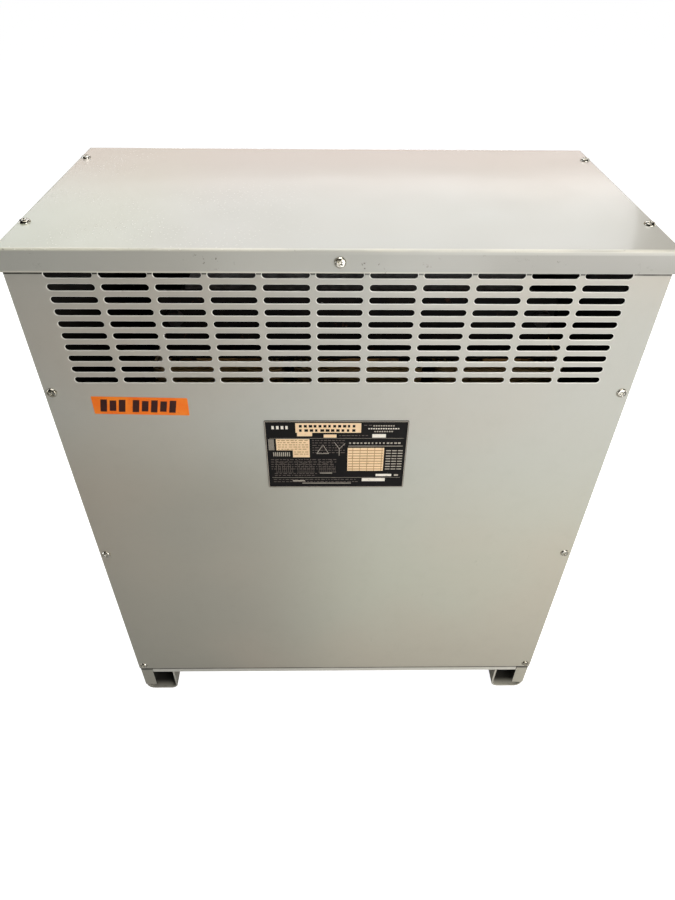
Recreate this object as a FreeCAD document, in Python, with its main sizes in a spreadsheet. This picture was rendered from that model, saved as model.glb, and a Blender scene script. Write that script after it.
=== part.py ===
# Ventilated dry-type power transformer: a sheet-steel cabinet on two channel feet,
# with a three-legged core and its coils inside.
# Frame: millimetres, X to the right, Y from front to back, Z up, origin on the floor
# at the footprint's centre.

import FreeCAD, Part
import math
import os
import Sketcher
from FreeCAD import Placement, Rotation, Vector

doc = FreeCAD.newDocument("transformer")

# ---- driving dimensions --------------------------------------------------------------------------

DIMENSIONS = {
    # cabinet
    "cabinet_width": 698.0,
    "cabinet_depth": 350.0,
    "overall_height": 850.0,
    "panel_sheet": 1.6,
    "side_sheet": 1.6,
    "bend_radius": 2.6,
    "flange_width": 21.0,
    "side_bottom": 17.7,
    "rail_reveal": 17.4,
    # top cover
    "cover_sheet": 1.9,
    "cover_clearance": 0.6,
    "cover_lip": 25.4,
    "cover_corner": 1.6,
    # air slots of the front and back panels
    "slot_margin": 40.9,
    "slot_bridge": 6.4,
    "slot_height": 7.5,
    "slot_row_pitch": 14.58,
    "slot_columns": 11,
    "slot_rows": 10,
    "slot_top_drop": 28.6,
    # base rails and feet
    "rail_sheet": 1.9,
    "rail_height": 42.0,
    "rail_flange": 25.0,
    "foot_height": 55.6,
    "foot_width": 56.0,
    "foot_sheet": 3.0,
    "foot_corner": 13.0,
    "anchor_hole": 14.0,
    "anchor_inset": 43.8,
    # sheet-metal screws
    "screw_head": 12.5,
    "screw_head_height": 3.2,
    "screw_shank": 6.0,
    "screw_length": 12.0,
    "screw_hole_clearance": 0.4,
    "panel_screw_inset": 9.6,
    "panel_screw_drop": 177.7,
    "panel_screw_middle": 382.2,
    "panel_screw_rise": 10.9,
    "lip_screw_drop": 13.5,
    "cover_screw_inset": 9.0,
    "cover_screw_front": 69.0,
    "cover_screw_back": 47.0,
    # plates on the front
    "nameplate_width": 180.0,
    "nameplate_height": 112.5,
    "nameplate_thickness": 1.0,
    "nameplate_centre": -2.0,
    "nameplate_gap": 55.88,
    "marker_width": 114.3,
    "marker_height": 25.8,
    "marker_thickness": 0.4,
    "marker_centre": -238.6,
    "marker_gap": 20.83,
    "marker_tilt": 1.3,
    # core
    "core_offset": 28.0,
    "core_side_clearance": 46.9,
    "core_front_clearance": 79.4,
    "core_headroom": 106.5,
    "yoke_height": 75.0,
    # windings
    "phase_gap": 13.0,
    "winding_clearance": 4.0,
    "inner_build": 16.0,
    "duct_width": 9.0,
    "outer_build": 20.0,
    "winding_corner": 14.0,
    "block_height": 15.0,
    "block_width": 50.0,
    "block_clearance": 2.0,
    # core clamps, supports and bolts
    "clamp_sheet": 5.0,
    "clamp_shelf": 45.0,
    "clamp_overhang": 32.0,
    "support_height": 40.0,
    "support_width": 44.0,
    "support_sheet": 3.0,
    "support_clearance": 1.0,
    "pad_height": 12.0,
    "pad_length": 50.0,
    "pad_width": 40.0,
    "pad_inset": 40.0,
    "bolt_diameter": 12.0,
    "bolt_clearance": 0.7,
    "bolt_flats": 19.0,
    "bolt_head": 8.0,
    "bolt_edge": 16.0,
}

sheet = doc.addObject("Spreadsheet::Sheet", "Size")
for row, (alias, value) in enumerate(DIMENSIONS.items(), start=1):
    sheet.set("A%d" % row, alias)
    sheet.set("B%d" % row, repr(value))
    sheet.setAlias("B%d" % row, alias)
doc.recompute()

# ---- places that several pieces share, as rules on the driving dimensions ------------------------

half_width = "(Size.cabinet_width / 2)"
half_depth = "(Size.cabinet_depth / 2)"
flange_face = "(%s - Size.panel_sheet)" % half_depth
flange_back = "(%s - Size.side_sheet)" % flange_face
side_inside = "(%s - Size.side_sheet)" % half_width
inner_bend = "(Size.bend_radius - Size.side_sheet)"
rail_half_length = "(%s - %s)" % (side_inside, inner_bend)
foot_half_length = "(%s - %s)" % (flange_back, inner_bend)
cover_underside = "(Size.overall_height - Size.cover_sheet)"
slot_top_row = "(Size.overall_height - Size.slot_top_drop)"
screw_hole = "(Size.screw_shank + Size.screw_hole_clearance)"
panel_screw_x = "(%s - Size.panel_screw_inset)" % half_width
lip_screw_level = "(Size.overall_height - Size.lip_screw_drop)"
cover_half_width = "(%s + Size.cover_clearance + Size.cover_sheet)" % half_width
cover_half_depth = "(%s + Size.cover_clearance + Size.cover_sheet)" % half_depth
cover_screw_x = "(%s - Size.cover_screw_inset)" % cover_half_width
cover_screw_front_y = "(Size.cover_screw_front - %s)" % half_depth
cover_screw_back_y = "(%s - Size.cover_screw_back)" % half_depth

panel_bottom = "(Size.foot_height + Size.rail_reveal)"
slot_pitch = "((Size.cabinet_width - 2 * Size.slot_margin + Size.slot_bridge) / Size.slot_columns)"
slot_length = "(%s - Size.slot_bridge)" % slot_pitch
slots_bottom = "(%s - (Size.slot_rows - 1) * Size.slot_row_pitch - Size.slot_height / 2)" % slot_top_row
panel_screw_upper = "(Size.overall_height - Size.panel_screw_drop)"
panel_screw_lower = "(%s + Size.panel_screw_rise)" % panel_bottom

support_top = "(Size.foot_height + Size.support_height)"
core_bottom = "(%s + Size.pad_height)" % support_top
window_bottom = "(%s + Size.yoke_height)" % core_bottom
core_top = "(%s - Size.core_headroom)" % cover_underside
window_top = "(%s - Size.yoke_height)" % core_top
window_height = "(%s - %s)" % (window_top, window_bottom)
winding_build = "(Size.winding_clearance + Size.inner_build + Size.duct_width + Size.outer_build)"
coils_half_width = "(%s - Size.core_side_clearance - Size.core_offset)" % side_inside
leg_pitch = "((2 * %s + Size.phase_gap) / 3)" % coils_half_width
leg_width = "(%s - Size.phase_gap - 2 * %s)" % (leg_pitch, winding_build)
half_stack = "(%s - Size.core_front_clearance - %s)" % (flange_face, winding_build)
core_half_width = "(%s + %s / 2)" % (leg_pitch, leg_width)
shelf_centre = "(%s + Size.clamp_shelf / 2)" % half_stack
winding_bottom = "(%s + Size.block_height)" % window_bottom
winding_height = "(%s - 2 * Size.block_height)" % window_height
clamp_half_length = "(%s + Size.clamp_overhang)" % core_half_width
bolt_x = "(%s - Size.bolt_edge)" % clamp_half_length

SIDES = {"left": -1, "centre": 0, "right": 1}
SCREW_LEVELS = (panel_screw_upper, "Size.panel_screw_middle", panel_screw_lower)


def leg_x(side):
    return "(Size.core_offset + %d * %s)" % (SIDES[side], leg_pitch)


# ---- helpers -------------------------------------------------------------------------------------

def bind(thing, rules):
    for name, rule in rules.items():
        thing.setExpression(name, rule)
    return thing


def new_body(label):
    body = doc.addObject("PartDesign::Body", label)
    body.Label = label
    return body


def sketch_on(body, name, role, offset="0"):
    plane = next(item for item in body.Origin.OriginFeatures if item.Role == role)
    sketch = body.newObject("Sketcher::SketchObject", name)
    sketch.AttachmentSupport = [(plane, "")]
    sketch.MapMode = "FlatFace"
    sketch.setExpression("AttachmentOffset.Base.z", offset)
    return sketch


def pin(sketch, geometry, point, x_rule, y_rule):
    # Holds one sketch point at two ruled distances from the sketch's origin.
    for kind, rule in (("DistanceX", x_rule), ("DistanceY", y_rule)):
        value = float(sketch.evalExpression(rule))
        index = sketch.addConstraint(Sketcher.Constraint(kind, -1, 1, geometry, point, value))
        sketch.setExpression("Constraints[%d]" % index, rule)


def outline(sketch, corners):
    # A closed polygon through corners given as pairs of rules.
    places = [Vector(*(float(sketch.evalExpression(rule)) for rule in corner), 0) for corner in corners]
    lines = []
    for start, end in zip(places, places[1:] + places[:1]):
        lines.append(sketch.addGeometry(Part.LineSegment(start, end), False))
    for line, following in zip(lines, lines[1:] + lines[:1]):
        sketch.addConstraint(Sketcher.Constraint("Coincident", line, 2, following, 1))
    for line, corner in zip(lines, corners):
        pin(sketch, line, 1, *corner)


def rectangle(sketch, left, right, bottom, top):
    outline(sketch, [(left, bottom), (right, bottom), (right, top), (left, top)])


def circles(sketch, centres, diameter):
    for x_rule, y_rule in centres:
        radius = float(sketch.evalExpression(diameter)) / 2
        circle = sketch.addGeometry(Part.Circle(Vector(0, 0, 0), Vector(0, 0, 1), radius), False)
        pin(sketch, circle, 3, x_rule, y_rule)
        index = sketch.addConstraint(Sketcher.Constraint("Diameter", circle, 2 * radius))
        sketch.setExpression("Constraints[%d]" % index, diameter)


def obround(sketch, x_rule, y_rule, length, height):
    # A slot outline: two straight sides and two half-round ends.
    reach = "((%s) - (%s)) / 2" % (length, height)
    radius = float(sketch.evalExpression(height)) / 2
    across = float(sketch.evalExpression(reach))
    x, y = (float(sketch.evalExpression(rule)) for rule in (x_rule, y_rule))
    right_end = Part.Circle(Vector(x + across, y, 0), Vector(0, 0, 1), radius)
    left_end = Part.Circle(Vector(x - across, y, 0), Vector(0, 0, 1), radius)
    quarter = math.pi / 2
    right_arc = sketch.addGeometry(Part.ArcOfCircle(right_end, -quarter, quarter), False)
    left_arc = sketch.addGeometry(Part.ArcOfCircle(left_end, quarter, 3 * quarter), False)
    upper = Part.LineSegment(Vector(x + across, y + radius, 0), Vector(x - across, y + radius, 0))
    lower = Part.LineSegment(Vector(x - across, y - radius, 0), Vector(x + across, y - radius, 0))
    upper_side = sketch.addGeometry(upper, False)
    lower_side = sketch.addGeometry(lower, False)
    sketch.addConstraint(Sketcher.Constraint("Tangent", right_arc, 2, upper_side, 1))
    sketch.addConstraint(Sketcher.Constraint("Tangent", upper_side, 2, left_arc, 1))
    sketch.addConstraint(Sketcher.Constraint("Tangent", left_arc, 2, lower_side, 1))
    sketch.addConstraint(Sketcher.Constraint("Tangent", lower_side, 2, right_arc, 1))
    sketch.addConstraint(Sketcher.Constraint("Equal", right_arc, left_arc))
    pin(sketch, right_arc, 3, "(%s) + %s" % (x_rule, reach), y_rule)
    pin(sketch, left_arc, 3, "(%s) - %s" % (x_rule, reach), y_rule)
    index = sketch.addConstraint(Sketcher.Constraint("Radius", right_arc, radius))
    sketch.setExpression("Constraints[%d]" % index, "(%s) / 2" % height)


def pad(body, name, sketch, length, reverse=False):
    feature = body.newObject("PartDesign::Pad", name)
    feature.Profile = sketch
    feature.Reversed = reverse
    feature.setExpression("Length", length)
    doc.recompute()
    return feature


def pocket(body, name, sketch, length=None, reverse=False):
    # Cuts to a ruled depth, or through everything when none is given.
    before = body.Shape.Volume
    feature = body.newObject("PartDesign::Pocket", name)
    feature.Profile = sketch
    feature.Reversed = reverse
    if length is None:
        feature.Type = "ThroughAll"
    else:
        feature.setExpression("Length", length)
    doc.recompute()
    assert before - feature.Shape.Volume > 1, "%s cuts nothing from %s" % (name, body.Label)
    return feature


def round_edges(body, name, base, radius, test):
    edges = ["Edge%d" % number for number, edge in enumerate(base.Shape.Edges, start=1) if test(edge)]
    feature = body.newObject("PartDesign::Fillet", name)
    feature.Base = (base, edges)
    feature.setExpression("Radius", radius)
    doc.recompute()
    return feature


def value(rule):
    return float(sheet.evalExpression(rule))


def along(edge, axis):
    start, end = edge.Vertexes[0].Point, edge.Vertexes[-1].Point
    return (end - start).Length > 0.01 and abs((end - start).normalize().dot(axis)) > 0.999


def at(number, rule):
    return abs(number - value(rule)) < 0.001


def turned(body):
    # The same piece on the opposite side of the cabinet.
    body.Placement = Placement(Vector(0, 0, 0), Rotation(Vector(0, 0, 1), 180))


def box(label, low, lengths):
    piece = doc.addObject("Part::Box", label)
    piece.Label = label
    bind(piece, dict(zip(("Length", "Width", "Height"), lengths)))
    bind(piece, dict(zip(("Placement.Base.x", "Placement.Base.y", "Placement.Base.z"), low)))
    return piece


def group(label, pieces):
    # Like pieces that share one node, as solids that do not touch.
    compound = doc.addObject("Part::Compound", label)
    compound.Label = label
    compound.Links = pieces
    return compound


# ---- slotted front and back panels ---------------------------------------------------------------

def panel(label):
    body = new_body(label)
    blank = sketch_on(body, label + "_blank", "XZ_Plane", flange_face)
    rectangle(blank, "-" + half_width, half_width, panel_bottom, cover_underside + " - Size.cover_clearance")
    pad(body, label + "_sheet", blank, "Size.panel_sheet")

    slot = sketch_on(body, label + "_slot", "XZ_Plane", half_depth)
    first_column = "-(Size.slot_columns - 1) / 2 * " + slot_pitch
    obround(slot, first_column, slot_top_row, slot_length, "Size.slot_height")
    cut = pocket(body, label + "_first_slot", slot)
    slots = body.newObject("PartDesign::MultiTransform", label + "_slots")
    slots.Originals = [cut]
    across = body.newObject("PartDesign::LinearPattern", label + "_columns")
    across.Direction = (slot, ["H_Axis"])
    bind(across, {"Length": "(Size.slot_columns - 1) * " + slot_pitch, "Occurrences": "Size.slot_columns"})
    down = body.newObject("PartDesign::LinearPattern", label + "_rows")
    down.Direction = (slot, ["V_Axis"])
    down.Reversed = True
    bind(down, {"Length": "(Size.slot_rows - 1) * Size.slot_row_pitch", "Occurrences": "Size.slot_rows"})
    slots.Transformations = [across, down]
    body.Tip = slots
    doc.recompute()

    holes = sketch_on(body, label + "_screw_holes", "XZ_Plane", half_depth)
    centres = [(sign + panel_screw_x, level) for sign in ("", "-") for level in SCREW_LEVELS]
    circles(holes, centres + [("0", lip_screw_level)], screw_hole)
    pocket(body, label + "_screw_cut", holes)
    return body


panel("front_panel")
turned(panel("back_panel"))


# ---- side panels: a web with front, back and top flanges -----------------------------------------

def side_panel(label, sign):
    body = new_body(label)
    outer = "%d * %s" % (sign, half_width)
    inner = "%d * %s" % (sign, side_inside)
    free_edge = "%d * (%s - Size.flange_width)" % (sign, half_width)
    profile = sketch_on(body, label + "_outline", "XY_Plane", "Size.side_bottom")
    outline(profile, [
        (free_edge, "-" + flange_face),
        (outer, "-" + flange_face),
        (outer, flange_face),
        (free_edge, flange_face),
        (free_edge, flange_back),
        (inner, flange_back),
        (inner, "-" + flange_back),
        (free_edge, "-" + flange_back),
    ])
    web = pad(body, label + "_web", profile, cover_underside + " - Size.side_bottom")

    def bend_at(rule):
        return lambda edge: along(edge, Vector(0, 0, 1)) and at(edge.Vertexes[0].Point.x, rule)

    outside = round_edges(body, label + "_outer_bends", web, "Size.bend_radius", bend_at(outer))
    round_edges(body, label + "_inner_bends", outside, inner_bend, bend_at(inner))

    top = sketch_on(body, label + "_top_outline", "XY_Plane", cover_underside)
    into_web = "%d * (%s - Size.side_sheet / 2)" % (sign, half_width)
    top_reach = "(%s - Size.bend_radius)" % flange_back
    rectangle(top, free_edge, into_web, "-" + top_reach, top_reach)
    pad(body, label + "_top_flange", top, "Size.side_sheet", reverse=True)

    cover_holes = sketch_on(body, label + "_cover_holes", "XY_Plane", cover_underside)
    hole_x = "%d * %s" % (sign, cover_screw_x)
    circles(cover_holes, [(hole_x, cover_screw_front_y), (hole_x, cover_screw_back_y)], screw_hole)
    pocket(body, label + "_cover_screw_cut", cover_holes, "2 * Size.side_sheet")

    panel_holes = sketch_on(body, label + "_panel_holes", "XZ_Plane", half_depth)
    circles(panel_holes, [("%d * %s" % (sign, panel_screw_x), level) for level in SCREW_LEVELS], screw_hole)
    pocket(body, label + "_panel_screw_cut", panel_holes)


side_panel("left_side_panel", -1)
side_panel("right_side_panel", 1)


# ---- top cover: a tray with a turned-down lip ----------------------------------------------------

def top_cover():
    body = new_body("top_cover")
    lip_bottom = "(Size.overall_height - Size.cover_lip)"
    blank = sketch_on(body, "cover_blank", "XY_Plane", lip_bottom)
    rectangle(blank, "-" + cover_half_width, cover_half_width, "-" + cover_half_depth, cover_half_depth)
    block = pad(body, "cover_block", blank, "Size.cover_lip")
    corners = round_edges(body, "cover_corners", block, "Size.cover_corner",
                          lambda edge: along(edge, Vector(0, 0, 1)))
    top = value("Size.overall_height")
    round_edges(body, "cover_bends", corners, "Size.cover_clearance + Size.cover_sheet",
                lambda edge: all(abs(corner.Z - top) < 0.001 for corner in edge.Vertexes))
    inside = sketch_on(body, "cover_inside", "XY_Plane", lip_bottom)
    inner_x = "(%s - Size.cover_sheet)" % cover_half_width
    inner_y = "(%s - Size.cover_sheet)" % cover_half_depth
    rectangle(inside, "-" + inner_x, inner_x, "-" + inner_y, inner_y)
    hollow = pocket(body, "cover_hollow", inside, "Size.cover_lip - Size.cover_sheet", reverse=True)
    ceiling = value(cover_underside)
    round_edges(body, "cover_inner_bends", hollow, "Size.cover_clearance",
                lambda edge: all(abs(corner.Z - ceiling) < 0.001 for corner in edge.Vertexes))

    top_holes = sketch_on(body, "cover_top_holes", "XY_Plane", "Size.overall_height")
    circles(top_holes, [(sign + cover_screw_x, level) for sign in ("", "-")
                        for level in (cover_screw_front_y, cover_screw_back_y)], screw_hole)
    pocket(body, "cover_top_cut", top_holes, "2 * Size.cover_sheet")
    lip_holes = sketch_on(body, "cover_lip_holes", "XZ_Plane", cover_half_depth)
    circles(lip_holes, [("0", lip_screw_level)], screw_hole)
    pocket(body, "cover_lip_cut", lip_holes)


top_cover()


# ---- base rails: angles behind the panels' lower edges, resting on the feet ----------------------

def base_rail(label):
    body = new_body(label)
    profile = sketch_on(body, label + "_outline", "YZ_Plane", "-" + rail_half_length)
    back = "(Size.rail_sheet - %s)" % flange_back
    outline(profile, [
        ("-" + flange_back, "Size.foot_height"),
        ("Size.rail_flange - " + flange_back, "Size.foot_height"),
        ("Size.rail_flange - " + flange_back, "Size.foot_height + Size.rail_sheet"),
        (back, "Size.foot_height + Size.rail_sheet"),
        (back, "Size.foot_height + Size.rail_height"),
        ("-" + flange_back, "Size.foot_height + Size.rail_height"),
    ])
    rail = pad(body, label + "_angle", profile, "2 * " + rail_half_length)
    low = value("Size.foot_height")
    round_edges(body, label + "_bend", rail, "Size.rail_sheet",
                lambda edge: along(edge, Vector(1, 0, 0)) and abs(edge.Vertexes[0].Z - low) < 0.001
                and at(edge.Vertexes[0].Y, "-" + flange_back))
    holes = sketch_on(body, label + "_screw_holes", "XZ_Plane", half_depth)
    circles(holes, [(sign + panel_screw_x, panel_screw_lower) for sign in ("", "-")], screw_hole)
    pocket(body, label + "_screw_cut", holes, "Size.panel_sheet + Size.side_sheet + 2 * Size.rail_sheet")
    return body


base_rail("base_rail_front")
turned(base_rail("base_rail_back"))


# ---- feet: channels with rounded lower corners, open at the top and at both ends -----------------

def foot(label):
    body = new_body(label)
    outer_x = side_inside
    inner_x = "(%s - Size.foot_width)" % side_inside
    profile = sketch_on(body, label + "_outline", "XZ_Plane", "-" + foot_half_length)
    outline(profile, [
        (inner_x, "0"),
        (outer_x, "0"),
        (outer_x, "Size.foot_height"),
        (outer_x + " - Size.foot_sheet", "Size.foot_height"),
        (outer_x + " - Size.foot_sheet", "Size.foot_sheet"),
        (inner_x + " + Size.foot_sheet", "Size.foot_sheet"),
        (inner_x + " + Size.foot_sheet", "Size.foot_height"),
        (inner_x, "Size.foot_height"),
    ])
    channel = pad(body, label + "_channel", profile, "2 * " + foot_half_length)

    def corner_at(level):
        return lambda edge: along(edge, Vector(0, 1, 0)) and at(edge.Vertexes[0].Z, level)

    outside = round_edges(body, label + "_outer_corners", channel, "Size.foot_corner", corner_at("0"))
    round_edges(body, label + "_inner_corners", outside, "Size.foot_corner - Size.foot_sheet",
                corner_at("Size.foot_sheet"))
    anchors = sketch_on(body, label + "_anchors", "XY_Plane", "Size.foot_sheet")
    centre = "(%s - Size.foot_width / 2)" % side_inside
    reach = "(%s - Size.anchor_inset)" % foot_half_length
    circles(anchors, [(centre, reach), (centre, "-" + reach)], "Size.anchor_hole")
    pocket(body, label + "_anchor_cut", anchors, "2 * Size.foot_sheet")
    return body


foot("right_foot")
turned(foot("left_foot"))


# ---- screws --------------------------------------------------------------------------------------

TILT = {"front": 90, "back": -90, "top": 0}


def screw(label, facing, place):
    # A flat-bottomed pan head with its shank behind it, pointing out of the face it holds.
    head = doc.addObject("Part::Cylinder", label + "_head")
    bind(head, {"Radius": "Size.screw_head / 2", "Height": "Size.screw_head_height"})
    shank = doc.addObject("Part::Cylinder", label + "_shank")
    bind(shank, {"Radius": "Size.screw_shank / 2", "Height": "Size.screw_length + Size.screw_head_height",
                 "Placement.Base.z": "-Size.screw_length"})
    whole = doc.addObject("Part::Fuse", label)
    whole.Base = head
    whole.Tool = shank
    whole.Placement = Placement(Vector(0, 0, 0), Rotation(Vector(1, 0, 0), TILT[facing]))
    bind(whole, dict(zip(("Placement.Base.x", "Placement.Base.y", "Placement.Base.z"), place)))
    return whole


def panel_screws(side, face):
    places = [(sign + panel_screw_x, face, level) for sign in ("", "-") for level in SCREW_LEVELS]
    return [screw("%s_screw_%d" % (side, number), side, place)
            for number, place in enumerate(places, start=1)]


group("front_panel_screws", panel_screws("front", "-" + half_depth))
group("back_panel_screws", panel_screws("back", half_depth))

top_places = [(sign + cover_screw_x, level, "Size.overall_height") for sign in ("", "-")
              for level in (cover_screw_front_y, cover_screw_back_y)]
cover_screws = [screw("cover_screw_%d" % number, "top", place)
                for number, place in enumerate(top_places, start=1)]
cover_screws.append(screw("front_lip_screw", "front", ("0", "-" + cover_half_depth, lip_screw_level)))
cover_screws.append(screw("back_lip_screw", "back", ("0", cover_half_depth, lip_screw_level)))
group("cover_screws", cover_screws)


# ---- plates on the front panel -------------------------------------------------------------------

box("nameplate",
    ("Size.nameplate_centre - Size.nameplate_width / 2",
     "-%s - Size.nameplate_thickness" % half_depth,
     slots_bottom + " - Size.nameplate_gap - Size.nameplate_height"),
    ("Size.nameplate_width", "Size.nameplate_thickness", "Size.nameplate_height"))

marker = new_body("voltage_marker")
strip = sketch_on(marker, "marker_outline", "XZ_Plane")
rectangle(strip, "-Size.marker_width / 2", "Size.marker_width / 2",
          "-Size.marker_height / 2", "Size.marker_height / 2")
pad(marker, "marker_strip", strip, "Size.marker_thickness")
marker.Placement = Placement(Vector(0, 0, 0), Rotation(Vector(0, 1, 0), 1))
bind(marker, {
    "Placement.Rotation.Angle": "Size.marker_tilt",
    "Placement.Base.x": "Size.marker_centre",
    "Placement.Base.y": "-" + half_depth,
    "Placement.Base.z": slots_bottom + " - Size.marker_gap - Size.marker_height / 2",
})


# ---- core: two yokes and three legs of stacked sheet ---------------------------------------------

for label, level in (("lower_yoke", core_bottom), ("upper_yoke", window_top)):
    box(label,
        ("Size.core_offset - " + core_half_width, "-" + half_stack, level),
        ("2 * " + core_half_width, "2 * " + half_stack, "Size.yoke_height"))

for side in SIDES:
    box("core_leg_" + side,
        ("%s - %s / 2" % (leg_x(side), leg_width), "-" + half_stack, window_bottom),
        (leg_width, "2 * " + half_stack, window_height))


# ---- windings: an inner and an outer coil round each leg -----------------------------------------

def winding(label, side, inner_gap, build):
    body = new_body(label)
    half_x = "(%s / 2 + %s)" % (leg_width, inner_gap)
    half_y = "(%s + %s)" % (half_stack, inner_gap)
    outside = sketch_on(body, label + "_outside", "XY_Plane", winding_bottom)
    centre = leg_x(side)
    rectangle(outside, "%s - %s - %s" % (centre, half_x, build), "%s + %s + %s" % (centre, half_x, build),
              "-%s - %s" % (half_y, build), "%s + %s" % (half_y, build))
    block = pad(body, label + "_block", outside, winding_height)
    round_edges(body, label + "_outer_corners", block, "Size.winding_corner",
                lambda edge: along(edge, Vector(0, 0, 1)))
    opening = sketch_on(body, label + "_opening", "XY_Plane", winding_bottom)
    rectangle(opening, "%s - %s" % (centre, half_x), "%s + %s" % (centre, half_x), "-" + half_y, half_y)
    pocket(body, label + "_hollow", opening, reverse=True)


outer_gap = "(Size.winding_clearance + Size.inner_build + Size.duct_width)"
for side in SIDES:
    winding("inner_winding_" + side, side, "Size.winding_clearance", "Size.inner_build")
    winding("outer_winding_" + side, side, outer_gap, "Size.outer_build")

block_depth = "(Size.clamp_shelf - Size.block_clearance)"
block_levels = {"lower_spacer_blocks": window_bottom,
                "upper_spacer_blocks": winding_bottom + " + " + winding_height}
for label, level in block_levels.items():
    blocks = []
    for side in SIDES:
        for face, low_y in (("front", "-%s - Size.clamp_shelf" % half_stack),
                            ("back", "%s + Size.block_clearance" % half_stack)):
            block = box("%s_%s_%s" % (label, side, face),
                        (leg_x(side) + " - Size.block_width / 2", low_y, level),
                        ("Size.block_width", block_depth, "Size.block_height"))
            blocks.append(block)
    group(label, blocks)


# ---- core clamps and their bolts -----------------------------------------------------------------

def clamp(label, low, shelves, facing):
    # A web against the yoke with outward shelves at the ruled levels.
    body = new_body(label)
    web = sketch_on(body, label + "_web_outline", "YZ_Plane", "Size.core_offset - " + clamp_half_length)
    rectangle(web, "%d * (%s + Size.clamp_sheet)" % (facing, half_stack),
              "%d * %s" % (facing, half_stack), low, low + " + Size.yoke_height")
    pad(body, label + "_web", web, "2 * " + clamp_half_length)
    for number, level in enumerate(shelves, start=1):
        shelf = sketch_on(body, "%s_shelf_outline_%d" % (label, number), "YZ_Plane",
                          "Size.core_offset - " + clamp_half_length)
        rectangle(shelf, "%d * (%s + Size.clamp_shelf)" % (facing, half_stack),
                  "%d * %s" % (facing, half_stack), level, level + " + Size.clamp_sheet")
        pad(body, "%s_shelf_%d" % (label, number), shelf, "2 * " + clamp_half_length)
    holes = sketch_on(body, label + "_bolt_holes", "XZ_Plane")
    middle = "%s + Size.yoke_height / 2" % low
    circles(holes, [("Size.core_offset %s %s" % (sign, bolt_x), middle) for sign in "+-"],
            "Size.bolt_diameter + Size.bolt_clearance")
    pocket(body, label + "_bolt_cut", holes, reverse=facing < 0)


def clamp_bolts(label, low):
    middle = "%s + Size.yoke_height / 2" % low
    clamped = "(%s + Size.clamp_sheet)" % half_stack
    bolts = []
    for number, sign in enumerate("+-", start=1):
        x_rule = "Size.core_offset %s %s" % (sign, bolt_x)
        rod = doc.addObject("Part::Cylinder", "%s_rod_%d" % (label, number))
        rod.Placement = Placement(Vector(0, 0, 0), Rotation(Vector(1, 0, 0), -90))
        bind(rod, {"Radius": "Size.bolt_diameter / 2", "Height": "2 * %s" % clamped,
                   "Placement.Base.x": x_rule, "Placement.Base.y": "-" + clamped, "Placement.Base.z": middle})
        hexes = []
        for end, y_rule in (("head", "-%s - Size.bolt_head" % clamped), ("nut", clamped)):
            hexagon = doc.addObject("Part::Prism", "%s_%s_%d" % (label, end, number))
            hexagon.Polygon = 6
            hexagon.Placement = Placement(Vector(0, 0, 0), Rotation(Vector(1, 0, 0), -90))
            bind(hexagon, {"Circumradius": "Size.bolt_flats / sqrt(3)", "Height": "Size.bolt_head",
                           "Placement.Base.x": x_rule, "Placement.Base.y": y_rule, "Placement.Base.z": middle})
            hexes.append(hexagon)
        bolt = doc.addObject("Part::MultiFuse", "%s_%d" % (label, number))
        bolt.Shapes = [rod] + hexes
        bolts.append(bolt)
    group(label, bolts)


lower_shelves = (core_bottom, window_bottom + " - Size.clamp_sheet")
for face, facing in (("front", -1), ("back", 1)):
    clamp("upper_clamp_" + face, window_top, (window_top,), facing)
    clamp("lower_clamp_" + face, core_bottom, lower_shelves, facing)
clamp_bolts("upper_clamp_bolts", window_top)
clamp_bolts("lower_clamp_bolts", core_bottom)


# ---- support channels across the feet, with rubber pads under the lower clamps -------------------

def support_channel(label):
    body = new_body(label)
    profile = sketch_on(body, label + "_outline", "YZ_Plane", "Size.support_clearance - " + side_inside)
    near = "(-%s - Size.support_width / 2)" % shelf_centre
    far = "(-%s + Size.support_width / 2)" % shelf_centre
    outline(profile, [
        (near, "Size.foot_height"),
        (near + " + Size.support_sheet", "Size.foot_height"),
        (near + " + Size.support_sheet", support_top + " - Size.support_sheet"),
        (far + " - Size.support_sheet", support_top + " - Size.support_sheet"),
        (far + " - Size.support_sheet", "Size.foot_height"),
        (far, "Size.foot_height"),
        (far, support_top),
        (near, support_top),
    ])
    pad(body, label + "_channel", profile, "2 * (%s - Size.support_clearance)" % side_inside)
    return body


support_channel("support_channel_front")
turned(support_channel("support_channel_back"))

pads = []
for number, (sign, face) in enumerate(((sign, face) for sign in "+-" for face in "+-"), start=1):
    centre_x = "Size.core_offset %s (%s - Size.pad_inset)" % (sign, clamp_half_length)
    centre_y = face + shelf_centre
    isolator = box("isolator_pad_%d" % number,
                   (centre_x + " - Size.pad_length / 2", centre_y + " - Size.pad_width / 2", support_top),
                   ("Size.pad_length", "Size.pad_width", "Size.pad_height"))
    pads.append(isolator)
group("isolator_pads", pads)


# ---- checks and export ---------------------------------------------------------------------------

NODES = ["top_cover", "front_panel", "back_panel", "left_side_panel", "right_side_panel",
         "base_rail_front", "base_rail_back", "left_foot", "right_foot",
         "front_panel_screws", "back_panel_screws", "cover_screws", "nameplate", "voltage_marker",
         "lower_yoke", "upper_yoke", "lower_spacer_blocks", "upper_spacer_blocks",
         "upper_clamp_front", "upper_clamp_back", "lower_clamp_front", "lower_clamp_back",
         "upper_clamp_bolts", "lower_clamp_bolts",
         "support_channel_front", "support_channel_back", "isolator_pads"]
NODES += [kind + side for kind in ("core_leg_", "inner_winding_", "outer_winding_") for side in SIDES]

doc.recompute()
broken = [thing.Name for thing in doc.Objects if "Invalid" in thing.State or "Error" in thing.State]
assert not broken, "objects that failed: %s" % broken

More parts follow.
